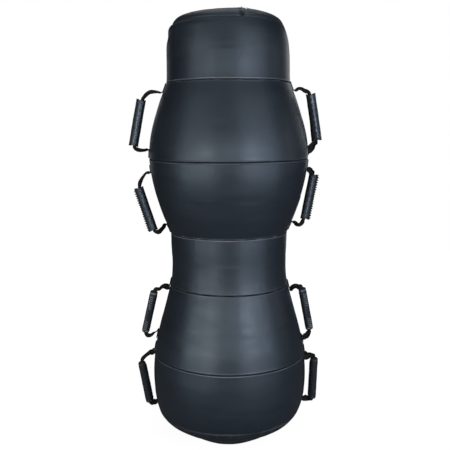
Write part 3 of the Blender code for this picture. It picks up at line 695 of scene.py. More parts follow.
def build_panel(index, panel, line):
    """One strip of leather with rounded, puckered seam edges and an inner face."""
    is_base = index == 0
    verts, painted_groove_shade, worn = [], [], []
    rows = stations(line.length, with_bottom=not is_base)
    if index == 1:
        fine = [SAG_ALONG[0] + SAG_STEP * k for k in range(int((SAG_ALONG[1] - SAG_ALONG[0]) / SAG_STEP))]
        rows = sorted([at for at in rows if not SAG_ALONG[0] - 0.001 < at < SAG_ALONG[1] + 0.001] + fine)
    for along in rows:
        point, normal = line.at(along)
        near_top = line.length - along < along or is_base
        gap = -SEAM_GAP if near_top else SEAM_GAP
        share = along / line.length
        for angle in AROUND:
            out, distance = leather_out(index, line, along, angle)
            radius = point.x + normal.x * out
            sway = panel_sway(index, share, angle)
            height = max(point.y + normal.y * out + sway + gap * (distance < SEAM_ROWS[1]), 0.0)
            verts.append((radius * math.cos(angle), radius * math.sin(angle), height))
            # Painted shade in the seam's groove, and a painted highlight on its folded edge
            painted_groove_shade.append(1.0 - ease(distance / GROOVE_SHADE_WIDTH))
            worn.append(painted_edge_highlight(index + 1 if near_top else index, distance, angle, not near_top))
            if index == 1:
                worn[-1] += sag_fold(angle, point.y)[1]
    inner = [(line.length, SEAM_TUCK), (line.length - INNER_INSET, WALL), (line.length / 2, WALL)]
    inner += [(line.length / 4, WALL), (INNER_INSET, WALL)]
    inner.append((0.0, WALL) if is_base else (0.0, SEAM_TUCK))
    for along, depth in inner:
        point, normal = line.at(along)
        for angle in AROUND:
            radius = point.x - depth * (abs(normal.x) if depth > WALL else normal.x)
            height = point.y - (0 if depth > WALL else depth * normal.y)
            if depth > WALL:
                height += seam_sway(angle, index + 1 if along > 0 else index)
                height += -SEAM_GAP if along > 0 else SEAM_GAP
            verts.append((radius * math.cos(angle), radius * math.sin(angle), height))
            # The inner face is painted fully shaded
            painted_groove_shade.append(1.0)
            worn.append(0.0)
    if is_base:
        close_base(verts, painted_groove_shade, worn, len(rows) + len(inner), line)
        return
    faces = ring_faces(len(rows) + len(inner), SEGMENTS, closed_rows=True)
    piece = add_piece("leather_" + panel.name, verts, faces, BAG_LEATHER)
    store(piece.data, "painted_groove_shade", painted_groove_shade)
    store(piece.data, "worn", worn)
    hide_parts(panel.name)


def close_base(verts, painted_groove_shade, worn, rows, line):
    """Adds the flat sole that the bag stands on, and the face above it."""
    faces = ring_faces(rows, SEGMENTS)
    flat = line.points[0].x
    for radius_share in (0.75, 0.4):
        for angle in AROUND:
            radius = flat * radius_share
            verts.append((radius * math.cos(angle), radius * math.sin(angle), WALL))
            painted_groove_shade.append(1.0)
    faces += ring_faces(3, SEGMENTS, start=(rows - 1) * SEGMENTS)
    faces.append(tuple((rows + 1) * SEGMENTS + i for i in range(SEGMENTS)))
    previous = 0
    for radius_share in (0.8, 0.45):
        start = len(verts)
        for angle in AROUND:
            radius = flat * radius_share
            verts.append((radius * math.cos(angle), radius * math.sin(angle), 0.0))
            painted_groove_shade.append(0.0)
        for i in range(SEGMENTS):
            j = (i + 1) % SEGMENTS
            faces.append((previous + j, previous + i, start + i, start + j))
        previous = start
    faces.append(tuple(previous + i for i in reversed(range(SEGMENTS))))
    piece = add_piece("leather_base_panel", verts, faces, BAG_LEATHER)
    store(piece.data, "painted_groove_shade", painted_groove_shade)
    store(piece.data, "worn", worn + [0.0] * (len(verts) - len(worn)))
    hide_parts("base_panel")


# Crown with its zip slot
def slot_point(angle, half_length, half_width, square=5):
    """A point on the rounded oblong of the zip's slot."""
    c, s = math.cos(angle), math.sin(angle)
    return Vector((half_length * math.copysign(abs(c) ** (2 / square), c),
                   half_width * math.copysign(abs(s) ** (2 / square), s)))


# Folds of the crown round each end of the zip: bearing from that end, height, and how far they
# reach and how wide they are
Fold = namedtuple("Fold", "angle height reach width")
END_FOLDS = [
    Fold(-1.05, 0.0032, 0.050, 0.16),
    Fold(-0.45, 0.0022, 0.040, 0.13),
    Fold(0.35, 0.0016, 0.045, 0.14),
    Fold(0.95, 0.0024, 0.055, 0.18),
    Fold(1.55, 0.0024, 0.048, 0.16),
    Fold(-1.70, 0.0026, 0.050, 0.20),
]


def zip_folds(x, y):
    """Folds of the crown that run out from both ends of the zip."""
    height = 0
    for end in (1, -1):
        dx, dy = end * x - ZIP_HALF_LENGTH + 0.006, y
        reach = math.hypot(dx, dy)
        bearing = math.atan2(dy, dx)
        for fold in END_FOLDS:
            turn = turned(bearing, fold.angle)
            here = ease(reach / 0.008) * fade(reach, fold.reach)
            height += fold.height * (bell(turn, fold.width) - 0.6 * bell(turn - 0.3, fold.width)) * here
    return height * (1 - ease((math.hypot(x, y) - 0.10) / 0.045) * 0.6)


def line_bell(x, y, start, end, width):
    """Bell across a straight line between two points, fading past its ends."""
    run = end - start
    share = min(1, max(0, (Vector((x, y)) - start).dot(run) / run.length_squared))
    return bell((Vector((x, y)) - start - run * share).length, width)


# The slit and the dimple beyond the zip's front end, in the zip's frame
DIMPLE = Vector((0.1432, -0.0205))
MOUTH = (Vector((0.1188, -0.0320)), Vector((0.1238, -0.0060)))
DIMPLE_DEPTH = 0.0080
DIMPLE_WIDTH = 0.0052
DIMPLE_SHADE_WIDTH = 0.0060
MOUTH_SHADE_WIDTH = 0.0022
# The slit, the folds that meet in the dimple and a raised crease beside them
Crease = namedtuple("Crease", "start end height width")
CREASES = [
    Crease(*MOUTH, -0.0020, 0.0024),
    Crease(MOUTH[1], DIMPLE, -0.0010, 0.0034),
    Crease(DIMPLE, Vector((0.1462, 0.0150)), -0.0014, 0.0022),
    Crease(Vector((0.1400, -0.0040)), Vector((0.1345, 0.0260)), 0.0014, 0.0028),
]
# The raised lip behind the slit: its bearings, how high it stands, and the radius and width of its
# crest and of the hollow inside it
LIP_SPAN = (math.radians(-46), math.radians(-12))
LIP_HEIGHT = 0.0012
LIP_CREST = (0.1175, 0.0032)
LIP_HOLLOW = (0.1115, 0.0028)


def crown_marks(x, y):
    """Gathers beyond the zip's front end: a slit, a dimple, the folds that meet in it, a raised lip."""
    height = -DIMPLE_DEPTH * bell((Vector((x, y)) - DIMPLE).length, DIMPLE_WIDTH)
    for crease in CREASES:
        height += crease.height * line_bell(x, y, crease.start, crease.end, crease.width)
    bearing = math.atan2(y, x)
    lip = LIP_HEIGHT * ease((bearing - LIP_SPAN[0]) / 0.2) * ease((LIP_SPAN[1] - bearing) / 0.15)
    for sign, (radius, width) in ((1, LIP_CREST), (-1, LIP_HOLLOW)):
        height += sign * lip * bell(math.hypot(x, y) - radius, width)
    return height


def crown_shade(x, y):
    """How dark the painted shade is in the crown's slit and dimple."""
    shade = 1.2 * bell((Vector((x, y)) - DIMPLE).length, DIMPLE_SHADE_WIDTH)
    shade += 0.8 * line_bell(x, y, *MOUTH, MOUTH_SHADE_WIDTH)
    return min(1.0, shade)


def crown_height(x, y):
    """Height of the crown's leather over a point in the zip's frame, inside the dome."""
    radius = min(math.hypot(x, y), CROWN_BEND * 0.9)
    over = abs(y) - ZIP_HALF_WIDTH
    inside = ease((ZIP_HALF_LENGTH + 0.004 - abs(x)) / 0.01)
    height = SLOT_RIDGE_HEIGHT * bell(over - SLOT_RIDGE_WIDTH, SLOT_RIDGE_WIDTH) * inside
    waves = noise.noise(Vector((x * 55, 0.3 if y > 0 else 4.6, 0)))
    height += SLOT_WAVE_HEIGHT * waves * fade(over, SLOT_WAVE_REACH) * inside * ease(over / 0.003)
    swell = noise.noise(Vector((x * 17, y * 17, 3.3)))
    height += CROWN_SWELL * swell + zip_folds(x, y)
    height *= 1 - ease((x - FRONT_LEVEL_FROM) / 0.008) * ease((0.010 - abs(y)) / 0.004)
    fuller = CROWN_FULLNESS * 0.4 * ease((math.hypot(x, y) - 0.085) / 0.030)
    fuller *= ease((abs(y) - 0.006) / 0.010)
    return dome_height(radius) + height + fuller + crown_marks(x, y) - CROWN_SUNK


def build_crown():
    """The top panel: its sewn edge, the dome up to the zip's slot, the slot's edge and its inside."""
    seam = Vector((CROWN_SEAM_RADIUS, TOP - CROWN_SEAM_DROP))
    dome_edge = Vector((CROWN_DOME_RADIUS, dome_height(CROWN_DOME_RADIUS)))
    dome_lean = -90 + math.degrees(math.asin(CROWN_DOME_RADIUS / CROWN_BEND))
    line = Line(curve_points(seam, CROWN_SEAM_LEAN, dome_edge, dome_lean, 60))
    index = len(PANELS)
    verts, painted_groove_shade, worn = [], [], []

    def add(point, dark):
        verts.append(tuple(ZIP_FRAME @ point))
        painted_groove_shade.append(dark)

    def between(angle, share, outer_share=1.0):
        outer = Vector((CROWN_DOME_RADIUS * math.cos(angle), CROWN_DOME_RADIUS * math.sin(angle)))
        at = (outer * outer_share).lerp(slot_point(angle, ZIP_HALF_LENGTH, ZIP_HALF_WIDTH), share)
        return at.x, at.y

    close = SEAM_ROWS[-1]
    finer = max(2, round((line.length - close) / CROWN_ROW_STEP))
    edge_rows = list(SEAM_ROWS) + [close + (line.length - close) * k / finer for k in range(1, finer + 1)]
    for along in edge_rows:
        point, normal = line.at(along)
        blend_in = ease(along / line.length)
        for angle in AROUND:
            world_angle = angle + ZIP_TURN - math.pi / 2
            place = (point.x * math.cos(world_angle), point.x * math.sin(world_angle), point.y)
            out = seam_edge(along, SEAMS[-1].depth)
            out += relief(place, index, along, SEAMS[-1].pucker) * (1 - blend_in)
            side = math.cos(world_angle)
            fullness = CROWN_FULLNESS * (1 - side ** 2 + 0.60 * max(0.0, -side) - 0.25 * max(0.0, side))
            out += fullness * math.sin(math.pi * min(1, along / line.length) ** 0.8)
            out -= drawn_in(world_angle, along)
            radius = point.x + normal.x * out
            x, y = radius * math.cos(angle), radius * math.sin(angle)
            height = point.y + normal.y * out + seam_sway(world_angle, index) * (1 - blend_in)
            height += blend_in * (crown_height(x, y) - dome_height(radius))
            height += (1 - blend_in) * crown_marks(x, y)
            # Painted shade in the seam's groove, the slit and the dimple
            add(Vector((x, y, height)), max(0.35 * (1.0 - ease(along / GROOVE_SHADE_WIDTH)), crown_shade(x, y)))
            # Painted highlight on the crown's folded edge
            worn.append(painted_edge_highlight(index, along, world_angle, True))
    for step in range(1, CROWN_STEPS + 1):
        share = 1 - (1 - step / CROWN_STEPS) ** 1.25
        for angle in AROUND:
            x, y = between(angle, share)
            add(Vector((x, y, crown_height(x, y))), crown_shade(x, y))
    for inwards, drop, dark in SLOT_EDGE:
        for angle in AROUND:
            x, y = slot_point(angle, ZIP_HALF_LENGTH - inwards, ZIP_HALF_WIDTH - inwards)
            add(Vector((x, y, crown_height(x, y) - drop)), dark)
    # The slot's inside and the crown's inner corner are painted fully shaded
    for share in (0.95, 0.6, 0.25, 0.0):
        for angle in AROUND:
            x, y = between(angle, share, 0.99)
            add(Vector((x, y, crown_height(x, y) - SLOT_EDGE[-1][1])), 1.0)
    for inside, above in (CROWN_INSIDE, (SEAM_TUCK, SEAM_GAP)):
        radius = CROWN_SEAM_RADIUS - inside
        for angle in AROUND:
            add(Vector((radius * math.cos(angle), radius * math.sin(angle), seam.y + above)), 1.0)
    faces = ring_faces(len(verts) // SEGMENTS, SEGMENTS, closed_rows=True)
    piece = add_piece("leather_crown_panel", verts, faces, BAG_LEATHER)
    store(piece.data, "painted_groove_shade", painted_groove_shade)
    store(piece.data, "worn", worn + [0.0] * (len(verts) - len(worn)))
    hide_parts("crown_panel")


def panel_lines():
    lines = []
    bottom = 0.0
    for panel in PANELS:
        lines.append(Line(panel_line(panel, bottom)))
        bottom += panel.height
    return lines


LINES = panel_lines()


def build_leather():
    for index, (panel, line) in enumerate(zip(PANELS, LINES)):
        build_panel(index, panel, line)
    build_crown()


def panel_at(height):
    """Number of the panel whose plain outline is at a height."""
    bottom = 0.0
    for index, panel in enumerate(PANELS[:-1]):
        if height <= bottom + panel.height:
            return index
        bottom += panel.height
    return len(PANELS) - 1


def surface_at(height, angle):
    """Radius of the leather at a height, and its outward normal as (out, up)."""
    index = panel_at(height)
    line = LINES[index]
    heights = [point.y for point in line.points]
    level = height
    for _ in range(2):
        at = max(1, min(len(heights) - 1, sum(1 for one in heights if one < level)))
        share = (level - heights[at - 1]) / (heights[at] - heights[at - 1])
        along = line.lengths[at - 1] + share * (line.lengths[at] - line.lengths[at - 1])
        level = height - panel_sway(index, along / line.length, angle)
    point, normal = line.at(along)
    out, _ = leather_out(index, line, along, angle)
    return point.x + out / normal.x, normal


# Lining and filling
def dressed_copy(node, name, material, swell, size, cuts=1):
    """A finer copy of a soft node with folds pressed into it, inside the space of the node."""
    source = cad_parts[node]
    bm = bmesh.new()
    bm.from_mesh(source.data)
    bmesh.ops.triangulate(bm, faces=bm.faces)
    bmesh.ops.join_triangles(bm, faces=bm.faces, angle_face_threshold=0.6, angle_shape_threshold=0.8)
    bmesh.ops.subdivide_edges(bm, edges=bm.edges, cuts=cuts, use_grid_fill=True)
    bm.normal_update()
    for vert in bm.verts:
        fold = 0.5 + 0.5 * noise.noise(vert.co / size)
        x, y, z = vert.co
        crease = 0.5 + 0.5 * noise.noise(Vector((x / size * 3, y / size * 3, z / size)))
        vert.co -= vert.normal * swell * (0.65 * fold + 0.35 * crease)
    mesh = bpy.data.meshes.new(name)
    bm.to_mesh(mesh)
    bm.free()
    mesh.materials.clear()
    mesh.shade_smooth()
    obj = place_mesh(mesh, material, "bag")
    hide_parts(node)
    return obj


def build_inside():
    dressed_copy("lining_sack", "cloth_lining_sack", LINING, 0.0003, 0.03)
    filling = dressed_copy("textile_filling", "packed_textile_shreds", FILLING, 0.006, 0.03, 2)


# Threads
def tube_data(points, radius, sides, verts, faces):
    """Adds a thin closed tube along a line of points to the lists of a mesh."""
    start = len(verts)
    side = None
    for i, point in enumerate(points):
        run = (points[min(i + 1, len(points) - 1)] - points[max(i - 1, 0)]).normalized()
        if side is None:
            side = run.orthogonal()
        side = (side - run * side.dot(run)).normalized()
        other = run.cross(side)
        for k in range(sides):
            angle = 2 * math.pi * k / sides
            verts.append(tuple(point + radius * (math.cos(angle) * side + math.sin(angle) * other)))
    faces += ring_faces(len(points), sides, start=start)
    faces.append(tuple(start + k for k in reversed(range(sides))))
    faces.append(tuple(start + (len(points) - 1) * sides + k for k in range(sides)))


def dash_data(line, verts, faces, pitch, share, radius, lift=0.0001):
    """Adds a row of stitches on a line of (point, normal) pairs; each stitch dips in at its ends."""
    points = [point for point, _ in line]
    lengths = run_lengths(points)

    def spot(target):
        at = 0
        while at < len(points) - 2 and lengths[at + 1] < target:
            at += 1
        part = (target - lengths[at]) / ((lengths[at + 1] - lengths[at]) or 1)
        return points[at].lerp(points[at + 1], part), line[at][1].lerp(line[at + 1][1], part).normalized()

    count = max(1, round(lengths[-1] / pitch))
    step = lengths[-1] / count
    for k in range(count):
        middle = (k + 0.5) * step
        stitch = []
        for part, up in STITCH_SHAPE:
            point, normal = spot(middle + part * step * share)
            stitch.append(point + normal * (lift + up * radius))
        tube_data(stitch, radius, 5, verts, faces)


# Zip
def zip_surface(x, y, depth):
    """A place in the zip's frame, at a depth under the crown's plain dome."""
    return Vector((x, y, dome_height(math.hypot(x, y)) - depth))


def build_tape(side, name):
    """One woven tape with a corded inner edge, bent over the crown under the leather."""
    verts = []
    for step in range(TAPE_STEPS + 1):
        x = -TAPE_HALF + 2 * TAPE_HALF * step / TAPE_STEPS
        ripple = 0.00012 * noise.noise(Vector((x * 90, side * 3.0, 0)))
        verts += [tuple(ZIP_FRAME @ zip_surface(x, side * y, depth + ripple)) for y, depth in TAPE_SECTION]
    count = len(TAPE_SECTION)
    faces = ring_faces(TAPE_STEPS + 1, count)
    faces.append(tuple(reversed(range(count))))
    faces.append(tuple(TAPE_STEPS * count + i for i in range(count)))
    faces = flipped(faces, side < 0)
    piece = add_piece("woven_tape_" + name, verts, faces, TAPE)
    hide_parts("zip_tape_" + name)


def tooth_block(bm, matrix, parts):
    """Adds blocks to a tooth, each with a centre, a size and how much narrower its top is."""
    for centre, size, squeeze in parts:
        for vert in bmesh.ops.create_cube(bm, size=1.0)["verts"]:
            narrow = squeeze if vert.co.z > 0 else 1.0
            scale = (size[0] * narrow, size[1] * narrow, size[2])
            placed = [at * wide + middle for at, wide, middle in zip(vert.co, scale, centre)]
            vert.co = matrix @ Vector(placed)


def build_teeth(side, name):
    """One row of moulded teeth: a clamp over the tape's cord, a neck and a head each."""
    pitch = 2 * CHAIN_HALF / TOOTH_COUNT
    bm = bmesh.new()
    parts = [((0, side * 0.0034, 0), (pitch * 0.42, 0.0013, 0.0023), 0.8),
             ((0, side * 0.0018, 0), (pitch * 0.26, 0.0024, 0.0017), 0.85),
             ((0, -side * 0.0001, 0), (pitch * 0.44, 0.0016, 0.0021), 0.75)]
    for k in range(TOOTH_COUNT):
        x = -CHAIN_HALF + pitch * (k + (0.5 if side > 0 else 0.0) + 0.25)
        if x <= LAST_TOOTH:
            tilt = Matrix.Rotation(math.asin(x / CROWN_BEND), 4, "Y")
            tooth_block(bm, ZIP_FRAME @ Matrix.Translation(zip_surface(x, 0, CHAIN_DEPTH)) @ tilt, parts)
    bmesh.ops.bevel(bm, geom=bm.edges[:], offset=TOOTH_BEVEL, segments=1, affect="EDGES", clamp_overlap=True)
    mesh = bpy.data.meshes.new("moulded_teeth_" + name)
    bm.to_mesh(mesh)
    bm.free()
    piece = place_mesh(mesh, TEETH, "bag")
    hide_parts("zip_teeth_" + name)


def build_slot_stitching():
    """Topstitching that holds the crown's folded edge down on the tapes."""
    verts, faces = [], []
    line = []
    half_length, half_width = ZIP_HALF_LENGTH + SLOT_STITCH_OFFSET, ZIP_HALF_WIDTH + SLOT_STITCH_OFFSET
    steps = 240
    for step in range(steps + 1):
        x, y = slot_point(2 * math.pi * step / steps, half_length, half_width, 4)
        line.append((ZIP_FRAME @ Vector((x, y, crown_height(x, y))), Vector((0, 0, 1))))
    dash_data(line, verts, faces, pitch=0.0036, share=0.74, radius=0.00042)
    add_piece("crown_topstitching", verts, faces, THREAD)


def build_zip():
    for side, name in ((-1, "left"), (1, "right")):
        build_tape(side, name)
        build_teeth(side, name)
    build_slot_stitching()
    for node in ("zip_slider", "zip_pull", "zip_stop_front", "zip_stop_back"):
        finish_node(node, METAL, METAL_BEVEL)


def finish_node(node, material, bevel=0.0):
    """A better material on a CAD node that keeps its shape, and softer edges."""
    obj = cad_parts[node]
    for socket in obj.material_slots:
        socket.link = "OBJECT"
        socket.material = material
    if bevel:
        rounding = obj.modifiers.new("rounding", "BEVEL")
        rounding.width = bevel
        rounding.segments = 2
        rounding.limit_method = "ANGLE"
        rounding.angle_limit = math.radians(40)


# Handles
# Looks of each grip: share of its width painted near black as shade along the inner side at the bottom
# and at the top, and along the outer side; whether it is laced with cord; how dark the rest is; how
# strong its painted streak of light is and how far out that lies; how mottled it is; and how many
# degrees its seam is turned towards the front
Wrap = namedtuple("Wrap", "inner_low inner_top outer laced dark streak streak_at mottle turn")
GRIP_LOOKS = {
    "shoulder_left": Wrap(0.30, 0.26, 0.12, False, 0.06, 1.00, 0.10, 0.55, 0),
    "shoulder_right": Wrap(0.60, 0.46, 0.06, False, 0.04, 0.95, 0.36, 0.45, 0),
    "chest_left": Wrap(0.28, 0.24, 0.12, True, 0.32, 0.75, -0.05, 0.80, 0),
    "chest_right": Wrap(0.26, 0.28, 0.16, True, 0.36, 0.85, 0.05, 0.75, 0),
    "upper_hip_left": Wrap(0.36, 0.34, 0.06, False, 0.70, 0.60, 0.62, 0.45, 100),
    "upper_hip_right": Wrap(0.20, 0.14, 0.06, False, 0.62, 0.40, -0.10, 0.45, 112),
    "lower_hip_left": Wrap(0.20, 0.20, 0.10, False, 0.85, 0.05, 0.34, 0.30, 0),
    "lower_hip_right": Wrap(0.12, 0.12, 0.06, False, 0.80, 0.06, 0.34, 0.30, 0),
}
# Each handle: its side, whether its grip is gathered at the ends, and the webbing's middle line above
# and below the grip as (out, up, depth seen from the front) in millimetres, from the bag to the grip
Handle = namedtuple("Handle", "name side gathered top low")
HANDLES = [
    Handle("shoulder_left", -1, False,
           [(185, 985, 4), (194, 986, 8), (205, 986, 12), (215, 985, 12), (222, 981, 11)],
           [(223, 831, 7), (231, 830, 9), (241, 830, 12), (250, 831, 12)]),
    Handle("shoulder_right", 1, False,
           [(185, 989, 7), (193, 993, 9), (201, 992, 12), (209, 987, 13)],
           [(223, 826, 20), (229, 833, 22), (235, 843, 20)]),
    Handle("chest_left", -1, False,
           [(221, 766, 6), (228, 766, 7), (233, 762, 9), (239, 754, 12), (243, 748, 13)],
           [(182, 619, 8), (187, 612, 11), (192, 607, 12), (197, 602, 14), (201, 599, 14)]),
    Handle("chest_right", 1, False,
           [(220, 773, 14), (225, 771, 17), (230, 766, 17)],
           [(184, 625, 10), (190, 622, 12), (195, 618, 13), (202, 618, 14)]),
    Handle("upper_hip_left", -1, True,
           [(178, 436, 16), (184, 437, 13), (190, 436, 9), (196, 433, 8), (202, 428, 11)],
           [(216, 300, 6), (222, 298, 7), (227, 294, 13), (234, 291, 17)]),
    Handle("upper_hip_right", 1, True,
           [(179, 427, 7), (183, 431, 8), (189, 434, 11), (195, 434, 13), (201, 431, 14)],
           [(216, 282, 20), (222, 286, 21), (228, 292, 20)]),
    Handle("lower_hip_left", -1, True,
           [(226, 238, 14), (232, 237, 9), (238, 232, 9), (244, 228, 12)],
           [(218, 89, 19), (223, 85, 21), (229, 83, 20)]),
    Handle("lower_hip_right", 1, True,
           [(223, 224, 18), (230, 225, 23), (236, 227, 22)],
           [(221, 94, 24), (230, 94, 24), (238, 94, 21)]),
]


def grip_axis(name, side):
    """Bottom and top of a grip's axis as (out, up), from the tube inside it."""
    points = [vert.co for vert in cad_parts["grip_core_" + name].data.vertices]
    middle = sum(points, Vector()) / len(points)
    ends = []
    for sign in (-1, 1):
        half = [p for p in points if (p.z - middle.z) * sign > 0.02]
        centre = sum(half, Vector()) / len(half)
        ends.append(Vector((side * centre.x, centre.z)))
    run = (ends[1] - ends[0]).normalized()
    return ends[0] - run * CORE_INSET, ends[1] + run * CORE_INSET


def through(points, samples=14):
    """A smooth line through the given points (centripetal Catmull-Rom)."""
    line = []
    full = [points[0] * 2 - points[1]] + points + [points[-1] * 2 - points[-2]]
    for p0, p1, p2, p3 in zip(full, full[1:], full[2:], full[3:]):
        knots = [0.0]
        for a, b in ((p0, p1), (p1, p2), (p2, p3)):
            knots.append(knots[-1] + max((b - a).length ** 0.5, 1e-6))
        t0, t1, t2, t3 = knots
        for step in range(samples):
            t = t1 + (t2 - t1) * step / samples
            a1 = p0 * ((t1 - t) / (t1 - t0)) + p1 * ((t - t0) / (t1 - t0))
            a2 = p1 * ((t2 - t) / (t2 - t1)) + p2 * ((t - t1) / (t2 - t1))
            a3 = p2 * ((t3 - t) / (t3 - t2)) + p3 * ((t - t2) / (t3 - t2))
            b1 = a1 * ((t2 - t) / (t2 - t0)) + a2 * ((t - t0) / (t2 - t0))
            b2 = a2 * ((t3 - t) / (t3 - t1)) + a3 * ((t - t1) / (t3 - t1))
            line.append(b1 * ((t2 - t) / (t2 - t1)) + b2 * ((t - t1) / (t2 - t1)))
    return line + [points[-1]]


def on_leather(height, side):
    """Point of the webbing's middle where it lies flat on the leather at a height."""
    turn = 0.0 if side > 0 else math.pi
    best = 0.0
    for dz in (-0.004, 0, 0.004):
        for y in (-0.010, 0, 0.010):
            radius, _ = surface_at(height + dz, turn + y / BAG_RADIUS)
            best = max(best, radius - surface_radius(height + dz) + surface_radius(height))
    _, normal = surface_at(height, turn)
    return Vector((best, height)) + normal * (WEBBING_THICKNESS / 2 + WEBBING_LIFT)


def surface_radius(height):
    """Radius of the plain outline at a height."""
    line = LINES[panel_at(height)]
    for a, b in zip(line.points, line.points[1:]):
        if a.y <= height <= b.y:
            return a.x + (b.x - a.x) * (height - a.y) / ((b.y - a.y) or 1)
    return line.points[-1].x


def webbing_path(handle):
    """The webbing above and below its grip: (out, up) points of its middle, its depths, its root."""
    name, side = handle.name, handle.side
    top_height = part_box("strap_end_top_" + name)[0][2] - SEWN_END_CLEAR
    low_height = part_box("strap_end_bottom_" + name)[1][2] + SEWN_END_CLEAR
    axis_low, axis_high = grip_axis(name, side)
    up = (axis_high - axis_low).normalized()
    out = Vector((up.y, -up.x))

    def half(anchor, direction, drawn, grip_end, grip_run):
        sewn = (SEWN_LENGTH, SEWN_LENGTH * 0.66, 2 * SEWN_NEAR, SEWN_NEAR)
        tab = [on_leather(anchor + direction * at, side) for at in sewn]
        line = [Vector((out_mm, up_mm)) / 1000 for out_mm, up_mm, _ in drawn]
        root = on_leather(anchor + direction * 0.0010, side)
        first = (line[0] - root).normalized()
        points = tab + [root + first * 0.0012]
        points += [point for point in line if (point - root).length > 0.006]
        points += [grip_end + grip_run * 0.004 - out * 0.0030,
                   grip_end - grip_run * 0.006 - out * AXIS_OFFSET]
        return points, [depth / 1000 for _, _, depth in drawn], root

    top = half(top_height, 1, handle.top, axis_high, up)
    low = half(low_height, -1, handle.low, axis_low, -up)
    return top, low


def webbing_stations(points, depths, root):
    """Dense path points, each with its fold from 0 to 1 and its depth seen from the front."""
    line = resample(through(points), WEBBING_STEP)
    lengths = run_lengths(line)
    start = lengths[min(range(len(line)), key=lambda i: (line[i] - root).length)]
    span = lengths[-1] - start - 0.008
    made = []
    for point, at in zip(line, lengths):
        share = min(1, max(0, (at - start) / span))
        place = share * (len(depths) - 1)
        i = min(int(place), len(depths) - 2)
        depth = depths[i] + (depths[i + 1] - depths[i]) * (place - i)
        near = ease((at - start) / 0.006)
        end = ease((share - 0.75) / 0.25)
        depth = WEBBING_THICKNESS * (1 - near) + depth * near
        depth += (FOLDED_DEPTH - depth) * end
        made.append((point, ease(share), depth))
    return made


def section_depth(turn, twist):
    """Depth of the folded webbing seen from the front."""
    outer, inner = webbing_section(turn)
    out = [n * math.cos(twist) + y * math.sin(twist) for y, n, _ in outer + inner]
    return max(out) - min(out)


def last_within(high, depth_at, depth):
    """By halving, the largest fold or twist up to a high one that keeps the webbing within a depth."""
    low = 0.0
    for _ in range(12):
        middle = (low + high) / 2
        if depth_at(middle) > depth:
            high = middle
        else:
            low = middle
    return low


def fold_for(depth, folded):
    """Fold and twist that give the webbing a depth seen from the front."""
    bag_turn = 2 * math.asin(WEBBING_WIDTH / 2 / BAG_RADIUS)
    turn = bag_turn * (1 - folded) - FOLD_TURN * folded
    if section_depth(turn, 0) > depth:
        less = last_within(abs(turn), lambda fold: section_depth(-fold, 0), depth)
        return (turn if turn > 0 and folded < 0.02 else -less), 0.0
    twist = last_within(math.radians(80), lambda angle: section_depth(turn, angle), depth)
    return turn, twist if folded > 0 else 0.0


def webbing_section(turn):
    """(across, out) points of the folded webbing's two faces about its middle."""
    outer, inner = [], []
    half = WEBBING_WIDTH / 2 - WEBBING_THICKNESS / 2
    for k in range(WEBBING_SAMPLES + 1):
        v = -1 + 2 * k / WEBBING_SAMPLES
        if abs(turn) < 1e-3:
            y, n, slope = v * half, 0.0, 0.0
        else:
            radius = 2 * half / turn
            slope = v * turn / 2
            middle = math.sin(turn / 2) / (turn / 2)
            y, n = radius * math.sin(slope), radius * (math.cos(slope) - middle)
        thick = WEBBING_THICKNESS / 2
        outer.append((y + thick * math.sin(slope), n + thick * math.cos(slope), v))
        inner.append((y - thick * math.sin(slope), n - thick * math.cos(slope), v))
    return outer, inner


def build_webbing(handle):
    """The whole strap of a handle: sewn end, loop, folded run through the grip, and back."""
    top, low = webbing_path(handle)
    upper = webbing_stations(*top)
    lower = webbing_stations(*low)
    steps = 24
    inside = [(upper[-1][0].lerp(lower[-1][0], k / steps), 1.0, FOLDED_DEPTH) for k in range(1, steps)]
    path = upper + inside + lower[::-1]
    verts, across, lengthwise = [], [], []
    travelled = 0.0
    for i, (point, folded, depth) in enumerate(path):
        before, after = path[max(i - 1, 0)][0], path[min(i + 1, len(path) - 1)][0]
        run = (after - before).normalized()
        normal = Vector((-run.y, run.x))
        if i:
            travelled += (point - path[i - 1][0]).length
        turn, twist = fold_for(depth, folded)
        outer, inner = webbing_section(turn)
        for y, n, v in outer + inner[::-1]:
            at = point + normal * (n * math.cos(twist) + y * math.sin(twist))
            verts.append((handle.side * at.x, y * math.cos(twist) - n * math.sin(twist), at.y))
            across.append((v + 1) * 0.5 * WEBBING_WIDTH)
            lengthwise.append(travelled)
    count = 2 * (WEBBING_SAMPLES + 1)
    faces = flipped(ring_faces(len(path), count), handle.side > 0)
    for a, flip in ((0, handle.side < 0), (len(path) - 1, handle.side > 0)):
        first, last = a * count, a * count + count - 1
        cap = [(first + i, first + i + 1, last - 1 - i, last - i) for i in range(WEBBING_SAMPLES)]
        faces += flipped(cap, flip)
    piece = add_piece("webbing_" + handle.name, verts, faces, WEBBING, body=None)
    uv = piece.data.uv_layers.new(name="weave")
    for loop in piece.data.loops:
        uv.data[loop.index].uv = (lengthwise[loop.vertex_index], across[loop.vertex_index])
    start, end = blend_span(handle)
    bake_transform(piece)
    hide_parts("strap_loop_" + handle.name, "strap_end_top_" + handle.name,
                "strap_end_bottom_" + handle.name)


def blend_span(handle):
    """Where the webbing stops following the bag and where it fully follows the grip."""
    name, side = handle.name, handle.side
    top = on_leather(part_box("strap_end_top_" + name)[0][2] - SEWN_END_CLEAR, side)
    low = on_leather(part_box("strap_end_bottom_" + name)[1][2] + SEWN_END_CLEAR, side)
    along = (top - low).normalized()
    out = Vector((along.y, -along.x))
    middle = (top + low) / 2
    axis_low, axis_high = grip_axis(name, side)
    reach = min((axis_low - middle).dot(out), (axis_high - middle).dot(out)) - GRIP_RADIUS
    start, end = middle + out * 0.0035, middle + out * max(reach, 0.012)
    return (side * start.x, 0, start.y), (side * end.x, 0, end.y)


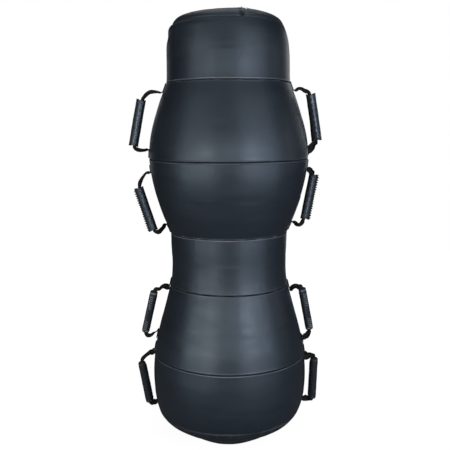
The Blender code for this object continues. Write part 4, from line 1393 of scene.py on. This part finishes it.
def build_tab_stitching():
    """Box and cross stitches that hold each end of the webbing on the leather."""
    verts, faces = [], []
    for handle in HANDLES:
        side = handle.side
        for node, direction in (("strap_end_top_", 1), ("strap_end_bottom_", -1)):
            low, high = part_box(node + handle.name)
            anchor = low[2] - SEWN_END_CLEAR if direction > 0 else high[2] + SEWN_END_CLEAR
            near, far = SEWN_NEAR, SEWN_LENGTH - SEWN_MARGIN
            half = WEBBING_WIDTH / 2 - SEWN_MARGIN

            def spot(at, y):
                point = on_leather(anchor + direction * at, side)
                radius = point.x
                _, normal = surface_at(anchor + direction * at, 0.0 if side > 0 else math.pi)
                lift = WEBBING_THICKNESS / 2
                x = math.sqrt(radius * radius - y * y) + normal.x * lift
                place = Vector((side * x, y, point.y + normal.y * lift))
                return place, Vector((side * normal.x, y / radius, normal.y)).normalized()

            corners = [(near, -half), (far, -half), (far, half), (near, half), (near, -half)]
            crosses = [(near, -half), (far, half)], [(near, half), (far, -half)]
            for run in [corners[k:k + 2] for k in range(4)] + list(crosses):
                (a, ya), (b, yb) = run
                line = [spot(a + (b - a) * k / 6, ya + (yb - ya) * k / 6) for k in range(7)]
                dash_data(line, verts, faces, pitch=0.0030, share=0.72, radius=0.00036)
    add_piece("webbing_end_stitching", verts, faces, THREAD)


# Rolled grips
def grip_point(handle, low, up, at, x, y, seam_side):
    """A place on a grip: along its axis, and (x, y) round it with its seam on the x axis."""
    out = Vector((up.y, -up.x))
    turn = math.radians(GRIP_LOOKS[handle.name].turn)
    across, deep = x * seam_side, y * seam_side * handle.side
    across, deep = (across * math.cos(turn) + deep * seam_side * math.sin(turn),
                    deep * math.cos(turn) - across * seam_side * math.sin(turn))
    point = low + up * at + out * across
    return Vector((handle.side * point.x, deep, point.y)), across


def grip_rows():
    """Distances along a grip, close together near its ends."""
    rows = [0.0, 0.0006, 0.0014, 0.0024, 0.0036, 0.005, 0.0065, 0.008, 0.0095, 0.011]
    rest = GRIP_LENGTH - 2 * rows[-1]
    steps = 58
    middle = [rows[-1] + rest * k / steps for k in range(1, steps)]
    return rows + middle + [GRIP_LENGTH - at for at in reversed(rows)]


def grip_angles():
    """Angles round the grip, close together where the seam stands out."""
    half = [0.0, 4, 7.5, 9.5, 11.5, 14, 18] + [18 + (180 - 18) * k / 24 for k in range(1, 25)]
    return [math.radians(a) for a in half] + [math.radians(-a) for a in reversed(half[1:-1])]


def gather_profile(at):
    """Outer radius of a gathered grip near an end, relative to its full radius."""
    if at < 0.0005:
        return -GATHER_DEPTH
    grooves = sum(depth * bell(at - place, width) for place, depth, width in GATHER_GROOVES)
    return -GATHER_DEPTH * math.exp(-at / 0.0016) - grooves


def noise_round(angle, size, along):
    """Noise that joins up round a grip; a larger size makes smaller features."""
    return noise.noise(Vector((math.cos(angle) * size, math.sin(angle) * size, along)))


def grip_shape(handle, index, at, angle):
    """Radius of a grip at a place, and how far its standing seam reaches out from there."""
    end = min(at, GRIP_LENGTH - at)
    ripple = noise_round(angle, 1.6, at * 55 + index * 7.3)
    fine = noise_round(angle, 5, at * 190 + index * 5.1)
    radius = GRIP_RADIUS + RIPPLE_HEIGHT * ripple + FINE_HEIGHT * fine
    if handle.gathered:
        radius += gather_profile(end)
        radius += PLEAT_HEIGHT * (math.cos(angle * PLEATS + 2 * ripple) * math.exp(-end / 0.004))
        reach, scallops = 0.0016 * ease((end - 0.004) / 0.006), 0.0005
    else:
        radius += 0.0007 * math.exp(-end / 0.0022)
        reach, scallops = FLANGE_REACH, 0.0015
    between = 1 - abs(math.sin(math.pi * at / STITCH_PITCH))
    strong = 0.35 + 0.65 * ease((abs(at - GRIP_LENGTH * 0.5) - 0.018) / 0.02)
    return radius, reach - scallops * between * strong


def grip_marks(handle, index, at, angle, outwards):
    """A grip's streak of light and gathered rings at a place, its painted highlight there, and how dark it
    is painted: shade along its sides, its darker tone and its mottle.
    """
    look = GRIP_LOOKS[handle.name]
    end = min(at, GRIP_LENGTH - at)
    streak_at = look.streak_at + 0.22 * noise.noise(Vector((at * 55, index * 3.7, 0)))
    streak = bell(outwards - streak_at, STREAK_WIDTH) * ease((end - 0.004) / 0.01)
    rings = sum(bell(end - ring, RING_WIDTH) for ring in GATHER_RINGS) if handle.gathered else 0
    edge = 0.10 * math.sin(2 * math.pi * at / SCALLOP_PITCH)
    edge += 0.16 * noise.noise(Vector((at * 130, index, 0)))
    inner_share = look.inner_low + (look.inner_top - look.inner_low) * at / GRIP_LENGTH
    # Painted shade along the grip's inner and outer sides, with a jagged edge
    edges = max(ease((2 * inner_share - 1 - outwards + edge) / 0.10 + 0.5),
                ease((outwards - 1 + 2 * look.outer + edge) / 0.10 + 0.5))
    speckle = look.mottle * ease((noise_round(angle, 3.2, at * 240 + index * 9.1) + 0.05) / 0.3)
    patchy = 0.6 + noise.noise(Vector((outwards * 4, at * 200, index)))
    # Painted highlight on the streak and the rings
    pale = max(0, 0.85 * look.streak * (streak + 0.5 * rings) * patchy) * (1 - edges)
    return streak, rings, pale, max(edges, look.dark, speckle) * (1 - min(1, pale * 1.5))


def build_grip(handle, index):
    """Leather rolled round the handle's tube, its edges sewn together in a standing seam."""
    low, high = grip_axis(handle.name, handle.side)
    up = (high - low).normalized()
    out = Vector((up.y, -up.x))
    look = GRIP_LOOKS[handle.name]
    seam_side = -1 if handle.gathered else 1
    angles = grip_angles()
    rows = grip_rows()
    verts, bound, worn = [], [], []

    def add(at, angle, x, y):
        """Adds a place on the grip; an open end flares along the axis."""
        flare = 0 if handle.gathered else OPEN_END_LIFT * math.cos(2 * angle)
        flare *= ease(1 - min(at, GRIP_LENGTH - at) / OPEN_END_REACH)
        place = at + flare if at > GRIP_LENGTH / 2 else at - flare
        verts.append(grip_point(handle, low, up, place, x, y, seam_side)[0])

    for at in rows:
        for angle in angles:
            radius, reach = grip_shape(handle, index, at, angle)
            outwards = grip_point(handle, low, up, at, math.cos(angle), math.sin(angle), seam_side)[1]
            streak, rings, pale, dark = grip_marks(handle, index, at, angle, outwards)
            # Painted highlight, and painted shade with the grip's darker tone and mottle
            worn.append(pale)
            bound.append(dark)
            radius += STREAK_HEIGHT * streak + RING_HEIGHT * rings
            if look.inner_low > 0.5:
                radius += 0.0024 * ease((0.45 - at / GRIP_LENGTH) / 0.4) * max(0, -outwards)
            x, y = radius * math.cos(angle), radius * math.sin(angle)
            if abs(y) < FLANGE_HALF * 1.02 and math.cos(angle) > 0:
                x = max(x, radius + reach * (1 - 0.35 * (y / FLANGE_HALF) ** 4))
                y *= 1 - 0.12 * (x > radius)
            elif abs(y) < FLANGE_HALF * 1.6 and math.cos(angle) > 0:
                x += 0.25 * reach * (1 - (abs(y) - FLANGE_HALF) / (0.6 * FLANGE_HALF))
            add(at, angle, x, y)
    inner_rows = [rows[-1], rows[-1] - 0.004, GRIP_LENGTH / 2, 0.004, 0.0]
    for at in inner_rows:
        closed = handle.gathered and min(at, GRIP_LENGTH - at) < 0.002
        bore = GRIP_RADIUS - (GATHER_DEPTH + 0.0009 if closed else GRIP_WALL)
        for angle in angles:
            add(at, angle, bore * math.cos(angle), bore * math.sin(angle))
    faces = ring_faces(len(rows) + len(inner_rows), len(angles), closed_rows=True)
    material = GATHERED_LEATHER if handle.gathered else ROLLED_LEATHER
    body = "handle_" + handle.name
    piece = add_piece("rolled_grip_" + handle.name, verts, faces, material, body)
    inside = len(verts) - len(bound)
    store(piece.data, "bound", bound + [1.0] * inside)
    store(piece.data, "worn", worn + [0.0] * inside)
    recalculate(piece)
    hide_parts("grip_sleeve_" + handle.name)
    build_grip_stitching(handle, low, up, out, seam_side)
    finish_node("grip_core_" + handle.name, CORE, CORE_BEVEL)


def recalculate(piece):
    """Turns a closed piece's faces outwards."""
    bm = bmesh.new()
    bm.from_mesh(piece.data)
    bmesh.ops.recalc_face_normals(bm, faces=bm.faces)
    bm.to_mesh(piece.data)
    bm.free()


def build_grip_stitching(handle, low, up, out, seam_side):
    """Whipstitches over the seam's edge, and the cord wound round a gathered grip near its ends."""
    look = GRIP_LOOKS[handle.name]
    if look.laced:
        build_lacing(handle, low, up, out)
        return
    verts, faces = [], []
    in_front = look.turn > 0
    pitch = WHIP_PITCH if in_front else STITCH_PITCH
    half = WHIP_HALF if in_front else FLANGE_HALF
    thick = WHIP_RADIUS if in_front else THREAD_RADIUS
    reach = 0.0016 if handle.gathered else FLANGE_REACH - 0.0010
    first = 2 if in_front else 3 if handle.gathered else 1
    # From one side of the seam over its edge to the other: out, across and how far along the grip
    whip = ((-0.0004, half + 0.0011, -0.0009), (reach * 0.6, half + 0.0004, -0.0005),
            (reach + 0.0003, half * 0.7, -0.0002), (reach + 0.0006, 0, 0),
            (reach + 0.0003, -half * 0.7, 0.0002), (reach * 0.6, -half - 0.0004, 0.0005),
            (-0.0004, -half - 0.0011, 0.0009))
    for k in range(first, int(GRIP_LENGTH / pitch) + 1 - first):
        at = pitch * k
        if in_front and BARE_STRETCH[0] < at / GRIP_LENGTH < BARE_STRETCH[1]:
            continue
        stitch = []
        for x, y, slide in whip:
            sunk = GRIP_RADIUS + x - y * y / (2 * GRIP_RADIUS)
            stitch.append(grip_point(handle, low, up, at + slide, sunk, y, seam_side)[0])
        tube_data(stitch, thick, 6, verts, faces)
    if handle.gathered:
        radius = GRIP_RADIUS - WINDING_SUNK
        steps = 36
        for at in WINDING_OFFSETS + tuple(GRIP_LENGTH - offset for offset in WINDING_OFFSETS):
            ring = []
            for k in range(steps + 1):
                angle = 2 * math.pi * k / steps
                point = low + up * at + out * radius * math.cos(angle)
                ring.append(Vector((handle.side * point.x, radius * math.sin(angle), point.y)))
            tube_data(ring, WINDING_RADIUS, 6, verts, faces)
    thread = PALE_THREAD if in_front else THREAD
    add_piece("grip_stitching_" + handle.name, verts, faces, thread, "handle_" + handle.name)


def build_lacing(handle, low, up, out):
    """Thick cord laced round the standing seam of a grip, in loops that stick out past its edge."""
    verts, faces = [], []
    for k in range(int(GRIP_LENGTH / LACE_PITCH)):
        at = LACE_PITCH * (k + 0.6)
        middle = abs(at / GRIP_LENGTH - 0.5)
        reach = FLANGE_REACH + 0.0006 + 0.0012 * ease((middle - 0.06) / 0.12)
        # From one side of the seam to the other: out, millimetres across, and how far along the grip
        shape = ((-0.0006, 3.4, -0.0030), (0.35 * reach, 2.3, -0.0022), (0.8 * reach, 1.2, -0.0008),
                 (reach, 0.0, 0.0006), (0.8 * reach, -1.2, 0.0012), (0.35 * reach, -2.3, 0.0022),
                 (-0.0006, -3.4, 0.0030))
        loop = []
        for x, across_mm, slide in shape:
            along = min(max(at + slide, 0.001), GRIP_LENGTH - 0.001)
            point = low + up * along + out * (GRIP_RADIUS + x)
            loop.append(Vector((handle.side * point.x, across_mm / 1000, point.y)))
        tube_data(resample(through(loop, 4), 0.0008), LACE_RADIUS, 7, verts, faces)
    add_piece("grip_lacing_" + handle.name, verts, faces, LACE, "handle_" + handle.name)


def build_handles():
    for index, handle in enumerate(HANDLES):
        build_webbing(handle)
        build_grip(handle, index)
    build_tab_stitching()


# Camera, lamps, world and floor
LAMP_TARGET = Vector((0, 0, 0.6))
LAMP_DISTANCE = 2.6
WORLD_STRENGTH = 0.010
WHITE = (1, 1, 1, 1)
FLOOR_COLOUR = (0.10, 0.10, 0.10, 1)
FLOOR_HALF = 12.0
# Name, bearing from the front and height in degrees, size, power and colour
LAMPS = [
    ("left_low", -30, -6, (1.0, 0.8), 13.5, (1.00, 0.96, 0.90)),
    ("left_mid", -30, 8, (1.0, 0.8), 13.5, (1.00, 1.00, 0.99)),
    ("left_high", -30, 34, (1.0, 0.8), 2.2, (1.00, 0.90, 0.90)),
    ("left_wide_low", -56, -4, (1.0, 1.0), 13.5, (0.94, 0.99, 1.00)),
    ("left_wide_mid", -56, 14, (1.0, 1.0), 5.2, (1.00, 0.95, 0.97)),
    ("left_wide_high", -56, 34, (1.0, 1.0), 4.1, (0.96, 1.00, 0.93)),
    ("right_low", 30, -6, (1.0, 0.8), 11.0, (1.00, 1.00, 1.00)),
    ("right_mid", 30, 8, (1.0, 0.8), 23.0, (0.87, 0.91, 1.00)),
    ("right_high", 30, 34, (1.0, 0.8), 5.6, (0.92, 0.98, 1.00)),
    ("right_wide_low", 56, -4, (1.0, 1.0), 11.6, (0.86, 0.93, 1.00)),
    ("right_wide_mid", 56, 14, (1.0, 1.0), 6.2, (0.90, 0.91, 1.00)),
    ("right_wide_high", 56, 34, (1.0, 1.0), 4.2, (1.00, 0.97, 0.99)),
    ("right_side", 92, 10, (0.9, 1.4), 2.6, (1.00, 1.00, 0.88)),
    ("front_mid", 0, 8, (1.0, 0.8), 10.4, (0.97, 0.99, 1.00)),
    ("front_top", 0, 50, (2.2, 0.8), 3.6, (1.00, 1.00, 0.95)),
    ("overhead", 0, 90, (2.2, 1.8), 15.0, (0.95, 0.98, 1.00)),
    ("behind_top", 180, 60, (2.2, 0.8), 6.0, (0.95, 0.98, 1.00)),
    ("right_rim", 145, 16, (0.8, 0.9), 3.4, (0.95, 0.98, 1.00)),
    ("right_back", 128, 14, (0.8, 0.9), 0.7, (0.95, 0.98, 1.00)),
    ("behind_right", 158, -2, (1.0, 1.2), 3.5, (0.95, 0.98, 1.00)),
    ("behind_left", -150, 8, (1.0, 1.2), 1.6, (0.95, 0.98, 1.00)),
]


def area_lamp(name, place, target, size, power, colour):
    """A rectangular lamp at a place, turned to a target."""
    data = bpy.data.lights.new(name, "AREA")
    data.shape = "RECTANGLE"
    data.size, data.size_y = size
    data.energy = power
    data.color = colour
    lamp = bpy.data.objects.new(name, data)
    lamp.location = place
    lamp.rotation_euler = (target - place).to_track_quat("-Z", "Y").to_euler()
    bpy.context.scene.collection.objects.link(lamp)


def build_studio():
    scene = bpy.context.scene
    data = bpy.data.cameras.new("camera")
    data.lens = LENS
    data.sensor_width = SENSOR_WIDTH
    camera = bpy.data.objects.new("camera", data)
    camera.location = CAMERA_PLACE
    camera.rotation_euler = (math.pi / 2 - CAMERA_PITCH, CAMERA_ROLL, 0)
    scene.collection.objects.link(camera)
    scene.camera = camera
    scene.view_settings.view_transform = "Standard"
    for name, azimuth, elevation, size, power, colour in LAMPS:
        around, up = math.radians(azimuth), math.radians(elevation)
        offset = Vector((math.sin(around) * math.cos(up), -math.cos(around) * math.cos(up), math.sin(up)))
        area_lamp(name, LAMP_TARGET + LAMP_DISTANCE * offset, LAMP_TARGET, size, power, colour)
    build_world(scene)
    build_floor()


def build_world(scene):
    """White to the camera, and a dim even surround to the object."""
    world = bpy.data.worlds.new("studio")
    world.use_nodes = True
    scene.world = world
    tree = world.node_tree
    tree.nodes.clear()
    around = add_node(tree, "ShaderNodeBackground", {"Color": WHITE, "Strength": WORLD_STRENGTH})
    white = add_node(tree, "ShaderNodeBackground", {"Color": WHITE})
    path = add_node(tree, "ShaderNodeLightPath")
    mix = add_node(tree, "ShaderNodeMixShader", {
        "Fac": path.outputs["Is Camera Ray"],
        1: around.outputs["Background"],
        2: white.outputs["Background"],
    })
    add_node(tree, "ShaderNodeOutputWorld", {"Surface": mix.outputs["Shader"]})


def build_floor():
    """A grey floor that looks almost white, by a glow that only the camera sees."""
    made, tree, shader = new_material("pale_floor")
    fill(tree, shader, {"Base Color": FLOOR_COLOUR, "Roughness": 0.9})
    away = add_node(tree, "ShaderNodeVectorMath", {0: object_coords(tree)}, operation="LENGTH")
    strength = map_range(tree, away.outputs["Value"], 0.3, 1.6, 0.94, 1.0)
    glow = add_node(tree, "ShaderNodeEmission", {"Color": WHITE, "Strength": strength})
    dark = add_node(tree, "ShaderNodeEmission", {"Strength": 0})
    path = add_node(tree, "ShaderNodeLightPath")
    seen = add_node(tree, "ShaderNodeMixShader", {
        "Fac": path.outputs["Is Camera Ray"],
        1: dark.outputs["Emission"],
        2: glow.outputs["Emission"],
    })
    both = add_node(tree, "ShaderNodeAddShader", {0: shader.outputs["BSDF"], 1: seen.outputs["Shader"]})
    fill(tree, tree.nodes["Material Output"], {"Surface": both.outputs["Shader"]})
    mesh = bpy.data.meshes.new("floor")
    corners = [(x * FLOOR_HALF, y * FLOOR_HALF, 0) for x, y in ((-1, -1), (1, -1), (1, 1), (-1, 1))]
    mesh.from_pydata(corners, [], [(0, 1, 2, 3)])
    place_mesh(mesh, made)


build_studio()
build_leather()
build_inside()
build_zip()
build_handles()
